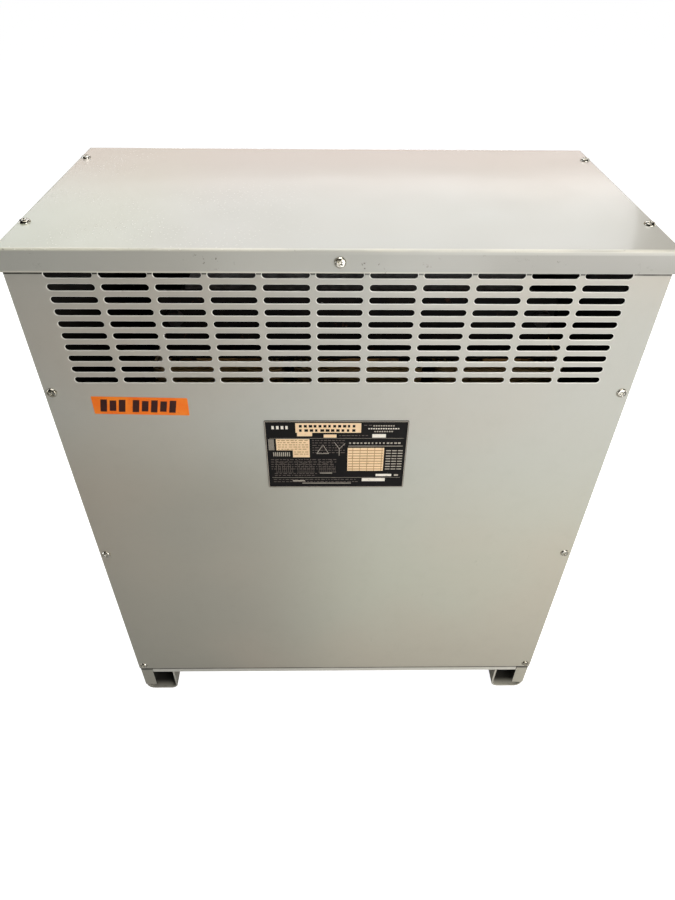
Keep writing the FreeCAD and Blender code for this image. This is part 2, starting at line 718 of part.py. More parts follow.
os.makedirs("parts", exist_ok=True)
for node in NODES:
    shape = doc.getObject(node).Shape
    assert not shape.isNull() and shape.isValid(), "%s has no valid shape" % node
    extent = shape.BoundBox
    print("%-24s %2d solids  %9.1f cm3  x %7.1f %7.1f  y %7.1f %7.1f  z %6.1f %6.1f" % (
        node, len(shape.Solids), shape.Volume / 1000, extent.XMin, extent.XMax, extent.YMin, extent.YMax,
        extent.ZMin, extent.ZMax))
for node in NODES:
    doc.getObject(node).Shape.exportStep("parts/%s.step" % node)
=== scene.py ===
import bpy
import bmesh
import math
import random
from mathutils import Matrix, Vector, noise


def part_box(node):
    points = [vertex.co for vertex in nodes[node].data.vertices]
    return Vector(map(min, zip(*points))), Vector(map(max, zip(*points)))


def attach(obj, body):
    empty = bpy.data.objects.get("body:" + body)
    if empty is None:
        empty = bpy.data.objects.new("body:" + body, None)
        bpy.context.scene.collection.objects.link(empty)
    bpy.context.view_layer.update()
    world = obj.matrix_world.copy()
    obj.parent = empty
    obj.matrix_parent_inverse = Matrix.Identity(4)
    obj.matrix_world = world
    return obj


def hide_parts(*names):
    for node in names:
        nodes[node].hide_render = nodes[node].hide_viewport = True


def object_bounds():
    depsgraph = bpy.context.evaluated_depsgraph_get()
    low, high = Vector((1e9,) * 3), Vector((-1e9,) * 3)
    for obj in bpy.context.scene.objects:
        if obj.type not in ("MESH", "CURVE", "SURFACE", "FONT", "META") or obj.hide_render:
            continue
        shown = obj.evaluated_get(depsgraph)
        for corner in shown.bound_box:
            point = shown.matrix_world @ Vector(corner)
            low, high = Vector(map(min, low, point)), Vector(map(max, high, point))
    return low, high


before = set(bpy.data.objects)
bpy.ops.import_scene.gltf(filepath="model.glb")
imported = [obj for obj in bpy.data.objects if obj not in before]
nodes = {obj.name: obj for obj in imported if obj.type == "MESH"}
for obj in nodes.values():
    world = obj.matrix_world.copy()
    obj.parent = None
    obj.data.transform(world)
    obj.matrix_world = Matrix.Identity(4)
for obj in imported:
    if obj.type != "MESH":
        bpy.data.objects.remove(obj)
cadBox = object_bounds()
print("frame loaded:", len(nodes), "nodes")

mm = 0.001
scene = bpy.context.scene

view = {
    "place": (-12.8 * mm, -806.1 * mm, 1115.9 * mm),
    "pitchDown": 40.18,  # degrees below the horizon
    "yaw": 1.11,         # degrees to the right of straight on
    "roll": 0.66,
    "lens": 25.78,
    "sensor": 36,
    "nearest": 20 * mm,
}


def addObject(name, data):
    holder = bpy.data.objects.new(name, data)
    scene.collection.objects.link(holder)
    return holder


def makeCamera():
    pitch, yaw, roll = (math.radians(view[key]) for key in ("pitchDown", "yaw", "roll"))
    flat = Vector((math.sin(yaw), math.cos(yaw), 0))
    forward = flat * math.cos(pitch) - Vector((0, 0, math.sin(pitch)))
    level = Vector((math.cos(yaw), -math.sin(yaw), 0))
    upright = level.cross(forward)
    right = math.cos(roll) * level + math.sin(roll) * upright
    up = math.cos(roll) * upright - math.sin(roll) * level
    camera = addObject("camera", bpy.data.cameras.new("camera"))
    turn = Matrix((right, up, -forward)).transposed()
    camera.matrix_world = Matrix.Translation(view["place"]) @ turn.to_4x4()
    camera.data.lens = view["lens"]
    camera.data.sensor_width = view["sensor"]
    camera.data.clip_start = view["nearest"]
    scene.camera = camera


bench = {"tree": None}  # the node tree that is being wired


def addNode(kind, inputs=None, **settings):
    tree = bench["tree"]
    node = tree.nodes.new(kind)
    for setting, value in settings.items():
        setattr(node, setting, value)
    for socket, value in (inputs or {}).items():
        if isinstance(value, bpy.types.NodeSocket):
            tree.links.new(value, node.inputs[socket])
        else:
            node.inputs[socket].default_value = value
    return node


keyWhite = (1.0, 0.985, 0.965)

studio = {
    "roomLight": 0.0,
    "floorColour": (0.36, 0.36, 0.35, 1),
    "floorGlow": 1.0,  # lifts the pale floor for the camera only
    "floorReach": 40.0,
    "floorRoughness": 0.9,
    "floorShine": 0.1,
    # name: place, aim, width, height, watts, colour
    "lamps": {
        "keyLow": ((0.45, -1.0, 0.38), (0.15, -0.17, 0.36), 0.7, 0.7, 1.5, keyWhite),
        "keyMid": ((0.05, -1.1, 0.35), (0.0, -0.17, 0.35), 0.7, 0.7, 1.6, keyWhite),
        "keyHigh": ((0.52, -0.98, 0.8), (0.2, -0.17, 0.45), 0.7, 0.7, 6.8, keyWhite),
        "keyFar": ((1.6, -1.6, 1.2), (0.0, -0.17, 0.4), 1.0, 1.0, 5.7, keyWhite),
        "overFront": ((0.2, -0.5, 2.6), (0.05, -0.1, 0.85), 1.8, 1.2, 12.3, keyWhite),
        "overBack": ((0.2, 0.4, 2.6), (0.05, 0.1, 0.85), 1.8, 1.2, 27.2, keyWhite),
        "overLeft": ((-0.6, 0.0, 2.4), (-0.2, 0.0, 0.85), 1.2, 1.2, 4.2, keyWhite),
        "backWarm": ((0.25, 2.3, 1.35), (0, 0, 0.85), 3.4, 0.5, 4.6, (1.0, 0.86, 0.74)),
        "backHigh": ((-0.1, 2.4, 1.95), (0, 0, 0.85), 3.4, 0.7, 12.6, (0.97, 0.98, 1.0)),
        "backLow": ((0.0, 2.4, 0.42), (0, 0.17, 0.45), 1.8, 0.7, 34, (1.0, 0.985, 0.96)),
        "leftLow": ((-2.2, 0.2, 0.44), (-0.35, 0, 0.4), 1.2, 0.7, 15, (0.97, 0.98, 1.0)),
        "rightLow": ((2.2, 0.3, 0.44), (0.35, 0, 0.4), 1.2, 0.7, 12, (1.0, 0.98, 0.95)),
        "leftFill": ((-2.4, 0.6, 1.5), (-0.3, 0, 0.4), 1.4, 1.4, 9, (0.96, 0.98, 1.0)),
        "rightFill": ((2.5, 0.7, 1.4), (0.3, 0, 0.4), 1.4, 1.4, 9, (1.0, 0.97, 0.93)),
    },
}


def makeStudio():
    world = bpy.data.worlds.new("studio")
    scene.world = world
    world.use_nodes = True
    tree = world.node_tree
    bench["tree"] = tree
    background = tree.nodes["Background"]
    background.inputs["Color"].default_value = (1, 1, 1, 1)
    background.inputs["Strength"].default_value = studio["roomLight"]
    backdrop = addNode("ShaderNodeBackground", {"Color": (1, 1, 1, 1)})
    seen = addNode("ShaderNodeLightPath").outputs["Is Camera Ray"]
    mix = addNode("ShaderNodeMixShader", {"Fac": seen, 1: background.outputs[0], 2: backdrop.outputs[0]})
    tree.links.new(mix.outputs[0], tree.nodes["World Output"].inputs["Surface"])

    for name, (place, aim, width, height, watts, tint) in studio["lamps"].items():
        lamp = bpy.data.lights.new(name, "AREA")
        lamp.shape = "RECTANGLE"
        lamp.size = width
        lamp.size_y = height
        lamp.energy = watts
        lamp.color = tint
        holder = addObject(name, lamp)
        holder.location = place
        holder.rotation_euler = (Vector(aim) - Vector(place)).to_track_quat("-Z", "Y").to_euler()

    reach = studio["floorReach"]
    mesh = bpy.data.meshes.new("floor")
    corners = [(-reach, -reach, 0), (reach, -reach, 0), (reach, reach, 0), (-reach, reach, 0)]
    mesh.from_pydata(corners, [], [(0, 1, 2, 3)])
    floor = addObject("floor", mesh)
    material = bpy.data.materials.new("floor")
    material.use_nodes = True
    tree = material.node_tree
    bench["tree"] = tree
    seen = addNode("ShaderNodeLightPath").outputs["Is Camera Ray"]
    glow = addNode("ShaderNodeMath", {0: seen, 1: studio["floorGlow"]}, operation="MULTIPLY")
    shader = tree.nodes["Principled BSDF"]
    for label, value in (("Base Color", studio["floorColour"]), ("Roughness", studio["floorRoughness"]),
                         ("Specular IOR Level", studio["floorShine"]), ("Emission Color", (1, 1, 1, 1))):
        shader.inputs[label].default_value = value
    tree.links.new(glow.outputs[0], shader.inputs["Emission Strength"])
    mesh.materials.append(material)
    scene.view_settings.view_transform = "Standard"


makeCamera()
makeStudio()
print("camera, lights and floor made")


def colour(red, green, blue):
    # Tones are written from 0 to 255, as on a paint chart, and turned into linear light here.
    parts = [part / 255 for part in (red, green, blue)]
    linear = [part / 12.92 if part <= 0.04045 else ((part + 0.055) / 1.055) ** 2.4 for part in parts]
    return (*linear, 1.0)


def maths(operation, first, second=0.0, clamp=False):
    node = addNode("ShaderNodeMath", {0: first, 1: second}, operation=operation, use_clamp=clamp)
    return node.outputs[0]


def times(first, second, clamp=False):
    return maths("MULTIPLY", first, second, clamp)


def plus(first, second, clamp=False):
    return maths("ADD", first, second, clamp)


def between(value, low, high, newLow=0.0, newHigh=1.0):
    # Maps low..high to newLow..newHigh, smoothly, and holds the ends.
    limits = {"Value": value, "From Min": low, "From Max": high, "To Min": newLow, "To Max": newHigh}
    return addNode("ShaderNodeMapRange", limits, interpolation_type="SMOOTHSTEP").outputs["Result"]


def blendColour(share, first, second):
    return addNode("ShaderNodeMix", {0: share, 6: first, 7: second}, data_type="RGBA").outputs[2]


def grainNoise(place, scale, detail=3.0, roughness=0.5):
    grain = {"Vector": place, "Scale": scale, "Detail": detail, "Roughness": roughness}
    return addNode("ShaderNodeTexNoise", grain).outputs["Fac"]


def stretch(place, factors):
    return addNode("ShaderNodeVectorMath", {0: place, 1: factors}, operation="MULTIPLY").outputs[0]


def newGroup(name, inputs, outputs):
    group = bpy.data.node_groups.new(name, "ShaderNodeTree")
    bench["tree"] = group
    kinds = {float: "NodeSocketFloat", tuple: "NodeSocketColor", type(None): "NodeSocketVector"}
    for label, value in inputs.items():
        socket = group.interface.new_socket(label, in_out="INPUT", socket_type=kinds[type(value)])
        if value is not None:
            socket.default_value = value
    for label, kind in outputs.items():
        group.interface.new_socket(label, in_out="OUTPUT", socket_type=kinds[kind])
    return group, group.nodes.new("NodeGroupInput").outputs, group.nodes.new("NodeGroupOutput").inputs


enamelGrain = {
    # scale, detail and roughness of each noise
    "drift": (2.6, 2.0),
    "film": (34.0, 8.0, 0.62),
    "smudge": (16.0, 2.0),
    "peel": (320.0, 2.0),
    "pull": (9.0, 1.0),
    "peelRise": 0.16,
    "pullRise": 2.4,
}


def makeEnamelGroup():
    # Sprayed enamel: soft warm and cool drifts, a film of dust, fine orange peel.
    group, given, out = newGroup("sprayedEnamel", {
        "Place": None, "Paint": colour(190, 190, 178), "Warm": colour(200, 188, 170),
        "Dust": colour(120, 112, 96), "Drift": 0.3, "Dust Amount": 0.3, "Gloss": 0.35,
    }, {"Colour": tuple, "Roughness": float, "Height": float})
    grain = {key: grainNoise(given["Place"], *enamelGrain[key])
             for key in ("drift", "film", "smudge", "peel", "pull")}
    drift = times(between(grain["drift"], 0.36, 0.68), given["Drift"])
    tinted = blendColour(drift, given["Paint"], given["Warm"])
    dusty = times(between(grain["film"], 0.46, 0.78), given["Dust Amount"])
    group.links.new(blendColour(dusty, tinted, given["Dust"]), out["Colour"])
    smudge = between(grain["smudge"], 0.3, 0.75, -0.015, 0.04)
    rough = plus(plus(given["Gloss"], smudge), times(dusty, 0.35))
    group.links.new(rough, out["Roughness"])
    peel = times(grain["peel"], enamelGrain["peelRise"])
    group.links.new(plus(peel, times(grain["pull"], enamelGrain["pullRise"])), out["Height"])
    return group


def makeMarksGroup():
    # Rubs and chips that show another colour in ragged spots, only where Area allows.
    group, given, out = newGroup("ruggedMarks", {
        "Place": None, "Area": 1.0, "Scale": 60.0, "Amount": 0.3,
        "Colour": colour(180, 180, 170), "Mark": colour(60, 56, 50),
    }, {"Colour": tuple, "Mask": float})
    ragged = grainNoise(given["Place"], given["Scale"], 7.0, 0.68)
    edge = maths("SUBTRACT", 0.78, times(given["Amount"], 0.4))
    spots = between(maths("SUBTRACT", ragged, edge), 0.0, 0.035)
    mask = times(spots, given["Area"], True)
    group.links.new(mask, out["Mask"])
    group.links.new(blendColour(mask, given["Colour"], given["Mark"]), out["Colour"])
    return group


def makeLayersGroup():
    # Stacked or wound layers: thin bands along one direction, each with its own tone.
    group, given, out = newGroup("stackedLayers", {
        "Along": 0.0, "Place": None, "Pitch": 0.002, "Stray": 0.3,
        "Light": colour(190, 160, 110), "Dark": colour(120, 90, 55),
    }, {"Colour": tuple, "Height": float})
    wander = times(grainNoise(given["Place"], 26.0, 2.0), given["Stray"])
    count = plus(maths("DIVIDE", given["Along"], given["Pitch"]), wander)
    layer = maths("FLOOR", count)
    tone = addNode("ShaderNodeTexWhiteNoise", {"W": layer}, noise_dimensions="1D").outputs["Value"]
    fibres = grainNoise(given["Place"], 240.0, 5.0, 0.6)
    share = plus(times(tone, 0.55), times(fibres, 0.5), True)
    across = maths("SUBTRACT", count, layer)
    crest = times(times(across, maths("SUBTRACT", 1.0, across)), 4.0)
    joint = between(crest, 0.0, 0.35, 0.45, 1.0)
    banded = blendColour(share, given["Dark"], given["Light"])
    group.links.new(blendColour(joint, given["Dark"], banded), out["Colour"])
    group.links.new(crest, out["Height"])
    return group


sprayedEnamel = makeEnamelGroup()
ruggedMarks = makeMarksGroup()
stackedLayers = makeLayersGroup()


def startMaterial(name):
    material = bpy.data.materials.new(name)
    material.use_nodes = True
    bench["tree"] = material.node_tree
    place = addNode("ShaderNodeTexCoord").outputs["Object"]
    return material, material.node_tree.nodes["Principled BSDF"], place


def useGroup(group, inputs):
    return addNode("ShaderNodeGroup", inputs, node_tree=group).outputs


def markOver(place, area, scale, amount, under, mark):
    return useGroup(ruggedMarks, {
        "Place": place, "Area": area, "Scale": scale, "Amount": amount, "Colour": under, "Mark": mark,
    })


def finishMaterial(started, tone, roughness, height, distance, metallic=None, **fixed):
    # Wires the colour, roughness and bump, and sets the constants on the shader itself.
    material, shader = started[:2]
    bump = addNode("ShaderNodeBump", {"Height": height, "Distance": distance, "Strength": 1.0})
    links = {"Base Color": tone, "Roughness": roughness, "Metallic": metallic,
             "Normal": bump.outputs["Normal"]}
    for label, value in links.items():
        if value is not None:
            bench["tree"].links.new(value, shader.inputs[label])
    labels = {"coat": "Coat Weight", "coatRoughness": "Coat Roughness", "shine": "Specular IOR Level",
              "metal": "Metallic"}
    for key, value in fixed.items():
        shader.inputs[labels[key]].default_value = value
    return material


def axes(place):
    return addNode("ShaderNodeSeparateXYZ", {0: place}).outputs


cabinetFinish = {
    "paint": colour(178, 179, 165),
    "fresh": colour(178, 179, 172),
    # painted shade: the darker tone towards the lower left
    "shadeTone": colour(158, 155, 144),
    "warm": colour(182, 171, 156),
    "dust": colour(112, 104, 88),
    "dirt": colour(122, 114, 98),
    "rub": colour(136, 132, 118),
    # painted shadow in the seams
    "seamShadow": colour(46, 44, 40),
    # near black, painted shade deep inside the feet
    "hollow": colour(22, 21, 19),
    "edge": colour(236, 236, 229),
    "gloss": 0.33,
    "coat": 0.12,
    "bump": 0.00035,
    "freshFrom": (0.3, 0.72),  # heights between which the enamel turns from yellowed to fresh
    # where the painted shade spreads, across and in height
    "shadeAcross": (0.08, -0.16),
    "shadeHeight": (0.66, 0.48),
    "splash": 0.1,             # how high the floor's dirt reaches
}

# where seams, rails and the feet's hollows begin and end
cabinetPlaces = {
    "lipShadow": (3.4 * mm, 2.4 * mm),    # painted shadow below the cover's lip
    "lipCovers": (4.0 * mm, 3.0 * mm),   # above the lip's edge
    "panelShadow": (8.5 * mm, 5.5 * mm),  # painted shadow below the panels' lower edge
    "panelCovers": 0.2 * mm,
    "sideFace": (0.3488, 0.3482),
    "railFace": (0.1705, 0.1712),
    "railEnd": (0.3288, 0.328),
    "railPale": (6.0 * mm, 9.0 * mm),
    "hollowMouth": (0.169, 0.154),
    "hollowFloor": (0.0022, 0.0027),
    "hollowRoof": (0.0574, 0.0556),
    "hollowInner": (0.2934, 0.2942),
    "hollowOuter": (0.3462, 0.3454),
}


def makeCabinetPaint():
    started = startMaterial("cabinetPaint")
    place = started[2]
    x, y, z = axes(place)
    besideX, besideY = maths("ABSOLUTE", x), maths("ABSOLUTE", y)
    at = cabinetPlaces
    # the enamel is yellower low down, where heat and dust have yellowed it; towards the lower left it is
    # darker, a painted shade
    newer = between(z, *cabinetFinish["freshFrom"])
    fade = blendColour(newer, cabinetFinish["paint"], cabinetFinish["fresh"])
    shaded = times(between(x, *cabinetFinish["shadeAcross"], 0.0, 0.9),
                   between(z, *cabinetFinish["shadeHeight"]))
    fade = blendColour(shaded, fade, cabinetFinish["shadeTone"])
    enamel = useGroup(sprayedEnamel, {
        "Place": place, "Paint": fade, "Warm": cabinetFinish["warm"],
        "Dust": cabinetFinish["dust"], "Drift": 0.5, "Dust Amount": 0.05, "Gloss": cabinetFinish["gloss"],
    })
    # floor dirt gathers low down, and rubs run up and down the sheets
    low = between(z, 0.0, cabinetFinish["splash"], 0.45, 0.0)
    dirt = markOver(place, low, 120.0, 0.5, enamel["Colour"], cabinetFinish["dirt"])
    rubs = markOver(stretch(place, (5.0, 5.0, 0.7)), 0.35, 22.0, 0.22, dirt["Colour"], cabinetFinish["rub"])
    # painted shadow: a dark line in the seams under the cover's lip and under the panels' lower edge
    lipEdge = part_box("top_cover")[0].z
    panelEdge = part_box("front_panel")[0].z
    underLip = times(between(z, lipEdge - at["lipShadow"][0], lipEdge - at["lipShadow"][1]),
                     between(z, lipEdge + at["lipCovers"][0], lipEdge + at["lipCovers"][1]))
    underPanel = times(between(z, panelEdge - at["panelShadow"][0], panelEdge - at["panelShadow"][1]),
                       between(z, panelEdge + at["panelCovers"], panelEdge - at["panelCovers"]))
    underPanel = times(underPanel, between(besideX, *at["sideFace"]))
    seamShadows = times(maths("MAXIMUM", underLip, underPanel),
                  between(grainNoise(place, 30.0, 4.0), 0.25, 0.55, 0.65, 0.95))
    # the rails' outer faces turn paler below the panels' edge
    onRail = times(between(besideY, *at["railFace"]),
                   times(between(besideX, *at["railEnd"]),
                         between(z, panelEdge - at["railPale"][0], panelEdge - at["railPale"][1])))
    railPaler = blendColour(times(onRail, 0.5), rubs["Colour"], cabinetFinish["edge"])
    seamShaded = blendColour(seamShadows, railPaler, cabinetFinish["seamShadow"])
    # painted shade: deep inside the open feet the colour turns near black
    deep = times(between(besideY, *at["hollowMouth"]),
                 times(between(z, *at["hollowFloor"]), between(z, *at["hollowRoof"])))
    hollow = times(between(besideX, *at["hollowInner"]), between(besideX, *at["hollowOuter"]))
    worn = blendColour(times(times(deep, hollow), 0.94), seamShaded, cabinetFinish["hollow"])
    return finishMaterial(started, worn, enamel["Roughness"], enamel["Height"], cabinetFinish["bump"],
                          coat=cabinetFinish["coat"], coatRoughness=0.12)


coverFinish = {
    "greener": colour(178, 182, 164),
    # the pink of a painted reflection along the back of the top
    "reflectedPink": colour(194, 178, 172),
    "nib": colour(252, 250, 246),
    # pale for the front bend's rub and painted highlight, and for the lip's hem
    "paleEdge": colour(226, 222, 205),
    "chipShade": colour(150, 144, 128),
    "darkerLip": colour(154, 153, 147),
    "scuff": colour(78, 72, 64),
    "gloss": 0.22,
    "coat": 0.35,
    "nibs": 210.0,      # dirt nibs to the metre
    "nibRise": 0.9,
    "rippleRise": 0.4,
    "chipDepth": 0.6,
}


def makeCoverPaint():
    # The cabinet's enamel with dirt nibs caught in it, a pink painted reflection along the back, a front
    # bend painted pale as rub and painted highlight, and scuffs on the lip.
    started = startMaterial("coverPaint")
    place = started[2]
    x, y, z = axes(place)
    lowCorner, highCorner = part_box("top_cover")
    onTop = between(z, highCorner.z - 2.5 * mm, highCorner.z - 0.8 * mm)
    # greener at the left, and pinker along the back, a painted reflection of warm light
    greener = blendColour(times(onTop, between(x, -0.12, -0.27, 0.0, 0.8)),
                          cabinetFinish["fresh"], coverFinish["greener"])
    reflectedPink = blendColour(times(onTop, between(y, -0.1, 0.16, 0.0, 0.6)), greener, coverFinish["reflectedPink"])
    enamel = useGroup(sprayedEnamel, {
        "Place": place, "Paint": reflectedPink, "Warm": cabinetFinish["warm"],
        "Dust": cabinetFinish["dust"], "Drift": 0.22, "Dust Amount": 0.0, "Gloss": coverFinish["gloss"],
    })
    patchy = between(grainNoise(place, 9.0, 4.0), 0.42, 0.62)
    nibArea = times(times(between(x, 0.02, -0.22), patchy), onTop)
    spread = {"Vector": place, "Scale": coverFinish["nibs"], "Randomness": 1.0}
    cells = addNode("ShaderNodeTexVoronoi", spread)
    nib = times(between(cells.outputs["Distance"], 0.27, 0.06), nibArea)
    ripple = times(grainNoise(stretch(place, (1.0, 3.2, 1.0)), 95.0, 4.0, 0.6), nibArea)
    pale = blendColour(times(nib, 0.8), enamel["Colour"], coverFinish["nib"])
    # the front bend is painted pale, partly rub and partly a painted highlight along the bend, with a few
    # chips; the lip's lower hem is paler too
    frontBend = times(between(y, lowCorner.y + 5.0 * mm, lowCorner.y + 2.5 * mm),
                      between(z, highCorner.z - 3.2 * mm, highCorner.z - 0.8 * mm))
    rubbed = times(frontBend, between(grainNoise(place, 12.0, 3.0), 0.3, 0.6, 0.2, 0.55))
    rubAndHighlight = blendColour(rubbed, pale, coverFinish["paleEdge"])
    chips = markOver(place, frontBend, 170.0, 0.34, rubAndHighlight, coverFinish["chipShade"])
    hem = between(z, lowCorner.z + 2.2 * mm, lowCorner.z + 0.8 * mm, 0.0, 0.6)
    hemmed = blendColour(hem, chips["Colour"], coverFinish["paleEdge"])
    onLip = between(z, highCorner.z - 4.0 * mm, highCorner.z - 6.0 * mm)
    # the lip turns darker towards the right
    lipDarkened = blendColour(times(onLip, between(x, -0.1, 0.3, 0.0, 0.85)), hemmed, coverFinish["darkerLip"])
    handled = times(onLip, between(grainNoise(place, 6.0, 1.0), 0.5, 0.62))
    scuffs = markOver(place, handled, 150.0, 0.42, lipDarkened, coverFinish["scuff"])
    height = plus(enamel["Height"], times(nib, coverFinish["nibRise"]))
    height = plus(height, times(ripple, coverFinish["rippleRise"]))
    height = maths("SUBTRACT", height, times(chips["Mask"], coverFinish["chipDepth"]))
    return finishMaterial(started, scuffs["Colour"], enamel["Roughness"], height, cabinetFinish["bump"],
                          coat=coverFinish["coat"], coatRoughness=0.08)


def makeEnamel(name, tones, drift, dust, gloss, bump, shine=0.5, marks=None):
    # Sprayed enamel in its own paint, warm and dust tones, with ragged marks where they are given.
    started = startMaterial(name)
    place = started[2]
    enamel = useGroup(sprayedEnamel, {
        "Place": place, "Paint": tones[0], "Warm": tones[1], "Dust": tones[2],
        "Drift": drift, "Dust Amount": dust, "Gloss": gloss,
    })
    tone = enamel["Colour"]
    if marks:
        area, scale, amount, mark = marks
        tone = markOver(place, area, scale, amount, tone, mark)["Colour"]
    return finishMaterial(started, tone, enamel["Roughness"], enamel["Height"], bump, shine=shine)


def makeZincPlate():
    started = startMaterial("zincPlate")
    place = started[2]
    grain = grainNoise(place, 900.0, 4.0, 0.6)
    bloom = between(grainNoise(place, 210.0, 3.0), 0.4, 0.66)
    bright = blendColour(bloom, colour(214, 212, 204), colour(176, 170, 152))
    rust = markOver(place, 1.0, 420.0, 0.36, bright, colour(96, 70, 46))
    rough = plus(times(grain, 0.22), times(rust["Mask"], 0.3))
    bare = maths("SUBTRACT", 1.0, times(rust["Mask"], 0.8))
    return finishMaterial(started, rust["Colour"], rough, grain, 0.00006, bare)


def makeDullSteel():
    # Blackened bolts that have dulled in the cabinet's dust.
    started = startMaterial("dullSteel")
    place = started[2]
    rust = markOver(place, 0.8, 190.0, 0.5, colour(62, 60, 58), colour(84, 66, 50))
    rough = between(grainNoise(place, 220.0, 4.0), 0.3, 0.7, 0.5, 0.72)
    return finishMaterial(started, rust["Colour"], rough, grainNoise(place, 500.0, 3.0), 0.00008, metal=0.7)


def makePrinted(name, ink, worn, gloss, shine=0.5):
    # Printed or painted ink on thin sheet, a little rubbed.
    started = startMaterial(name)
    place = started[2]
    rubbed = markOver(place, 0.8, 240.0, 0.4, ink, worn)
    tone = blendColour(between(grainNoise(place, 60.0, 5.0), 0.4, 0.8, 0.0, 0.3), rubbed["Colour"], worn)
    rough = between(grainNoise(place, 150.0, 4.0), 0.3, 0.7, gloss - 0.08, gloss + 0.12)
    return finishMaterial(started, tone, rough, grainNoise(place, 700.0, 2.0), 0.00004, shine=shine)


def makeMarkerVinyl():
    started = startMaterial("markerVinyl")
    place = started[2]
    fade = between(grainNoise(place, 40.0, 4.0), 0.35, 0.7)
    vinyl = blendColour(fade, colour(252, 114, 12), colour(254, 138, 34))
    lifted = markOver(place, 0.5, 300.0, 0.4, vinyl, colour(206, 88, 30))
    rough = between(grainNoise(place, 130.0, 3.0), 0.3, 0.7, 0.3, 0.48)
    return finishMaterial(started, lifted["Colour"], rough, grainNoise(place, 85.0, 2.0), 0.0002)


def makeLayered(name, light, dark, pitch, direction, gloss, bump):
    # Laminations, wound paper or pressed board, by pitch and direction.
    started = startMaterial(name)
    place = started[2]
    layers = useGroup(stackedLayers, {
        "Along": axes(place)["XYZ".index(direction)], "Place": place, "Pitch": pitch, "Stray": 0.3,
        "Light": light, "Dark": dark,
    })
    deeper = tuple(part * 0.5 for part in dark[:3]) + (1.0,)
    runs = markOver(place, 0.6, 24.0, 0.46, layers["Colour"], deeper)
    rough = between(grainNoise(place, 70.0, 5.0), 0.3, 0.7, gloss - 0.1, gloss + 0.15)
    return finishMaterial(started, runs["Colour"], rough, layers["Height"], bump,
                          coat=0.25, coatRoughness=0.25, shine=0.2)


def makePadRubber():
    started = startMaterial("padRubber")
    place = started[2]
    bloom = between(grainNoise(place, 45.0, 6.0, 0.6), 0.4, 0.75)
    tone = blendColour(bloom, colour(34, 34, 34), colour(74, 72, 68))
    return finishMaterial(started, tone, between(bloom, 0.0, 1.0, 0.62, 0.86),
                          grainNoise(place, 420.0, 4.0), 0.0003)


cabinetPaint = makeCabinetPaint()
coverPaint = makeCoverPaint()
# the punched rims get a much paler copy of the enamel, a painted highlight
rimHighlightPaint = makeEnamel("rimHighlightPaint", (cabinetFinish["edge"], colour(206, 202, 190), cabinetFinish["dust"]),
                      drift=0.5, dust=0.04, gloss=0.26, bump=0.0002,
                      marks=(0.5, 260.0, 0.3, colour(138, 136, 128)))
# the clamps' near-black enamel: partly their own dark paint, partly painted shade for the dark inside of
# the cabinet
clampEnamel = makeEnamel("clampEnamel", (colour(20, 20, 20), colour(28, 24, 20), colour(62, 56, 46)),
                         drift=0.6, dust=0.3, gloss=0.6, bump=0.0004, shine=0.1,
                         marks=(0.7, 90.0, 0.4, colour(66, 46, 34)))
# near-black inside faces: painted shade for the dark inside of the cabinet
cabinetInsideShade = makeEnamel("cabinetInsideShade", (colour(26, 25, 23), colour(32, 27, 22), colour(58, 52, 43)),
                           drift=0.7, dust=0.3, gloss=0.75, bump=0.0004, shine=0.1)
zincPlate = makeZincPlate()
dullSteel = makeDullSteel()
plateBlack = makePrinted("plateBlack", colour(9, 7, 8), colour(24, 21, 20), 0.42, 0.16)
plateDim = makePrinted("plateDim", colour(92, 84, 78), colour(58, 52, 48), 0.42, 0.2)
plateBeige = makePrinted("plateBeige", colour(236, 206, 166), colour(202, 166, 118), 0.36)
plateGrey = makePrinted("plateGrey", colour(176, 168, 154), colour(120, 110, 100), 0.4)
plateTan = makePrinted("plateTan", colour(168, 132, 84), colour(120, 92, 60), 0.4)
platePale = makePrinted("platePale", colour(232, 226, 214), colour(190, 182, 168), 0.34)
markerVinyl = makeMarkerVinyl()
markerInk = makePrinted("markerInk", colour(50, 6, 2), colour(84, 20, 6), 0.4)
coreSteel = makeLayered("coreSteel", colour(36, 34, 33), colour(15, 14, 14), 1.1 * mm, "Y", 0.45, 0.0002)
innerWrap = makeLayered("innerWrap", colour(150, 112, 70), colour(92, 64, 38), 6 * mm, "Z", 0.4, 0.0004)
outerWrap = makeLayered("outerWrap", colour(196, 166, 118), colour(140, 108, 68), 9 * mm, "Z", 0.36, 0.0004)
spacerBoard = makeLayered("spacerBoard", colour(188, 146, 92), colour(138, 100, 60), 1.6 * mm, "Z", 0.5,
                          0.0002)
padRubber = makePadRubber()
print("materials made:", len(bpy.data.materials))


cabinetCentre = (cadBox[0] + cadBox[1]) / 2
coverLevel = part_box("top_cover")[1].z


def shadeInside(mesh, directions):
    # Gives the faces that look into the cabinet the second material, a near-black painted shade. Of the
    # level faces only the cover's underside counts.
    for polygon in mesh.polygons:
        for axis in directions:
            inward = polygon.normal[axis] * (cabinetCentre[axis] - polygon.center[axis]) > 0
            ceiling = axis != 2 or polygon.center.z > coverLevel - 12 * mm
            if inward and ceiling and abs(polygon.normal[axis]) > 0.7:
                polygon.material_index = 1


def finishPiece(name, mesh, materials, slotName, replaced, sharpAngle=38):
    for material in materials:
        mesh.materials.append(material)
    mesh.shade_smooth()
    mesh.set_sharp_from_angle(angle=math.radians(sharpAngle))
    piece = addObject(name, mesh)
    weighted = piece.modifiers.new("flatFaces", "WEIGHTED_NORMAL")
    weighted.keep_sharp = True
    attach(piece, "root")
    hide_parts(*replaced)


def meshFrom(work, name):
    bmesh.ops.recalc_face_normals(work, faces=work.faces)
    mesh = bpy.data.meshes.new(name)
    work.to_mesh(mesh)
    work.free()
    return mesh


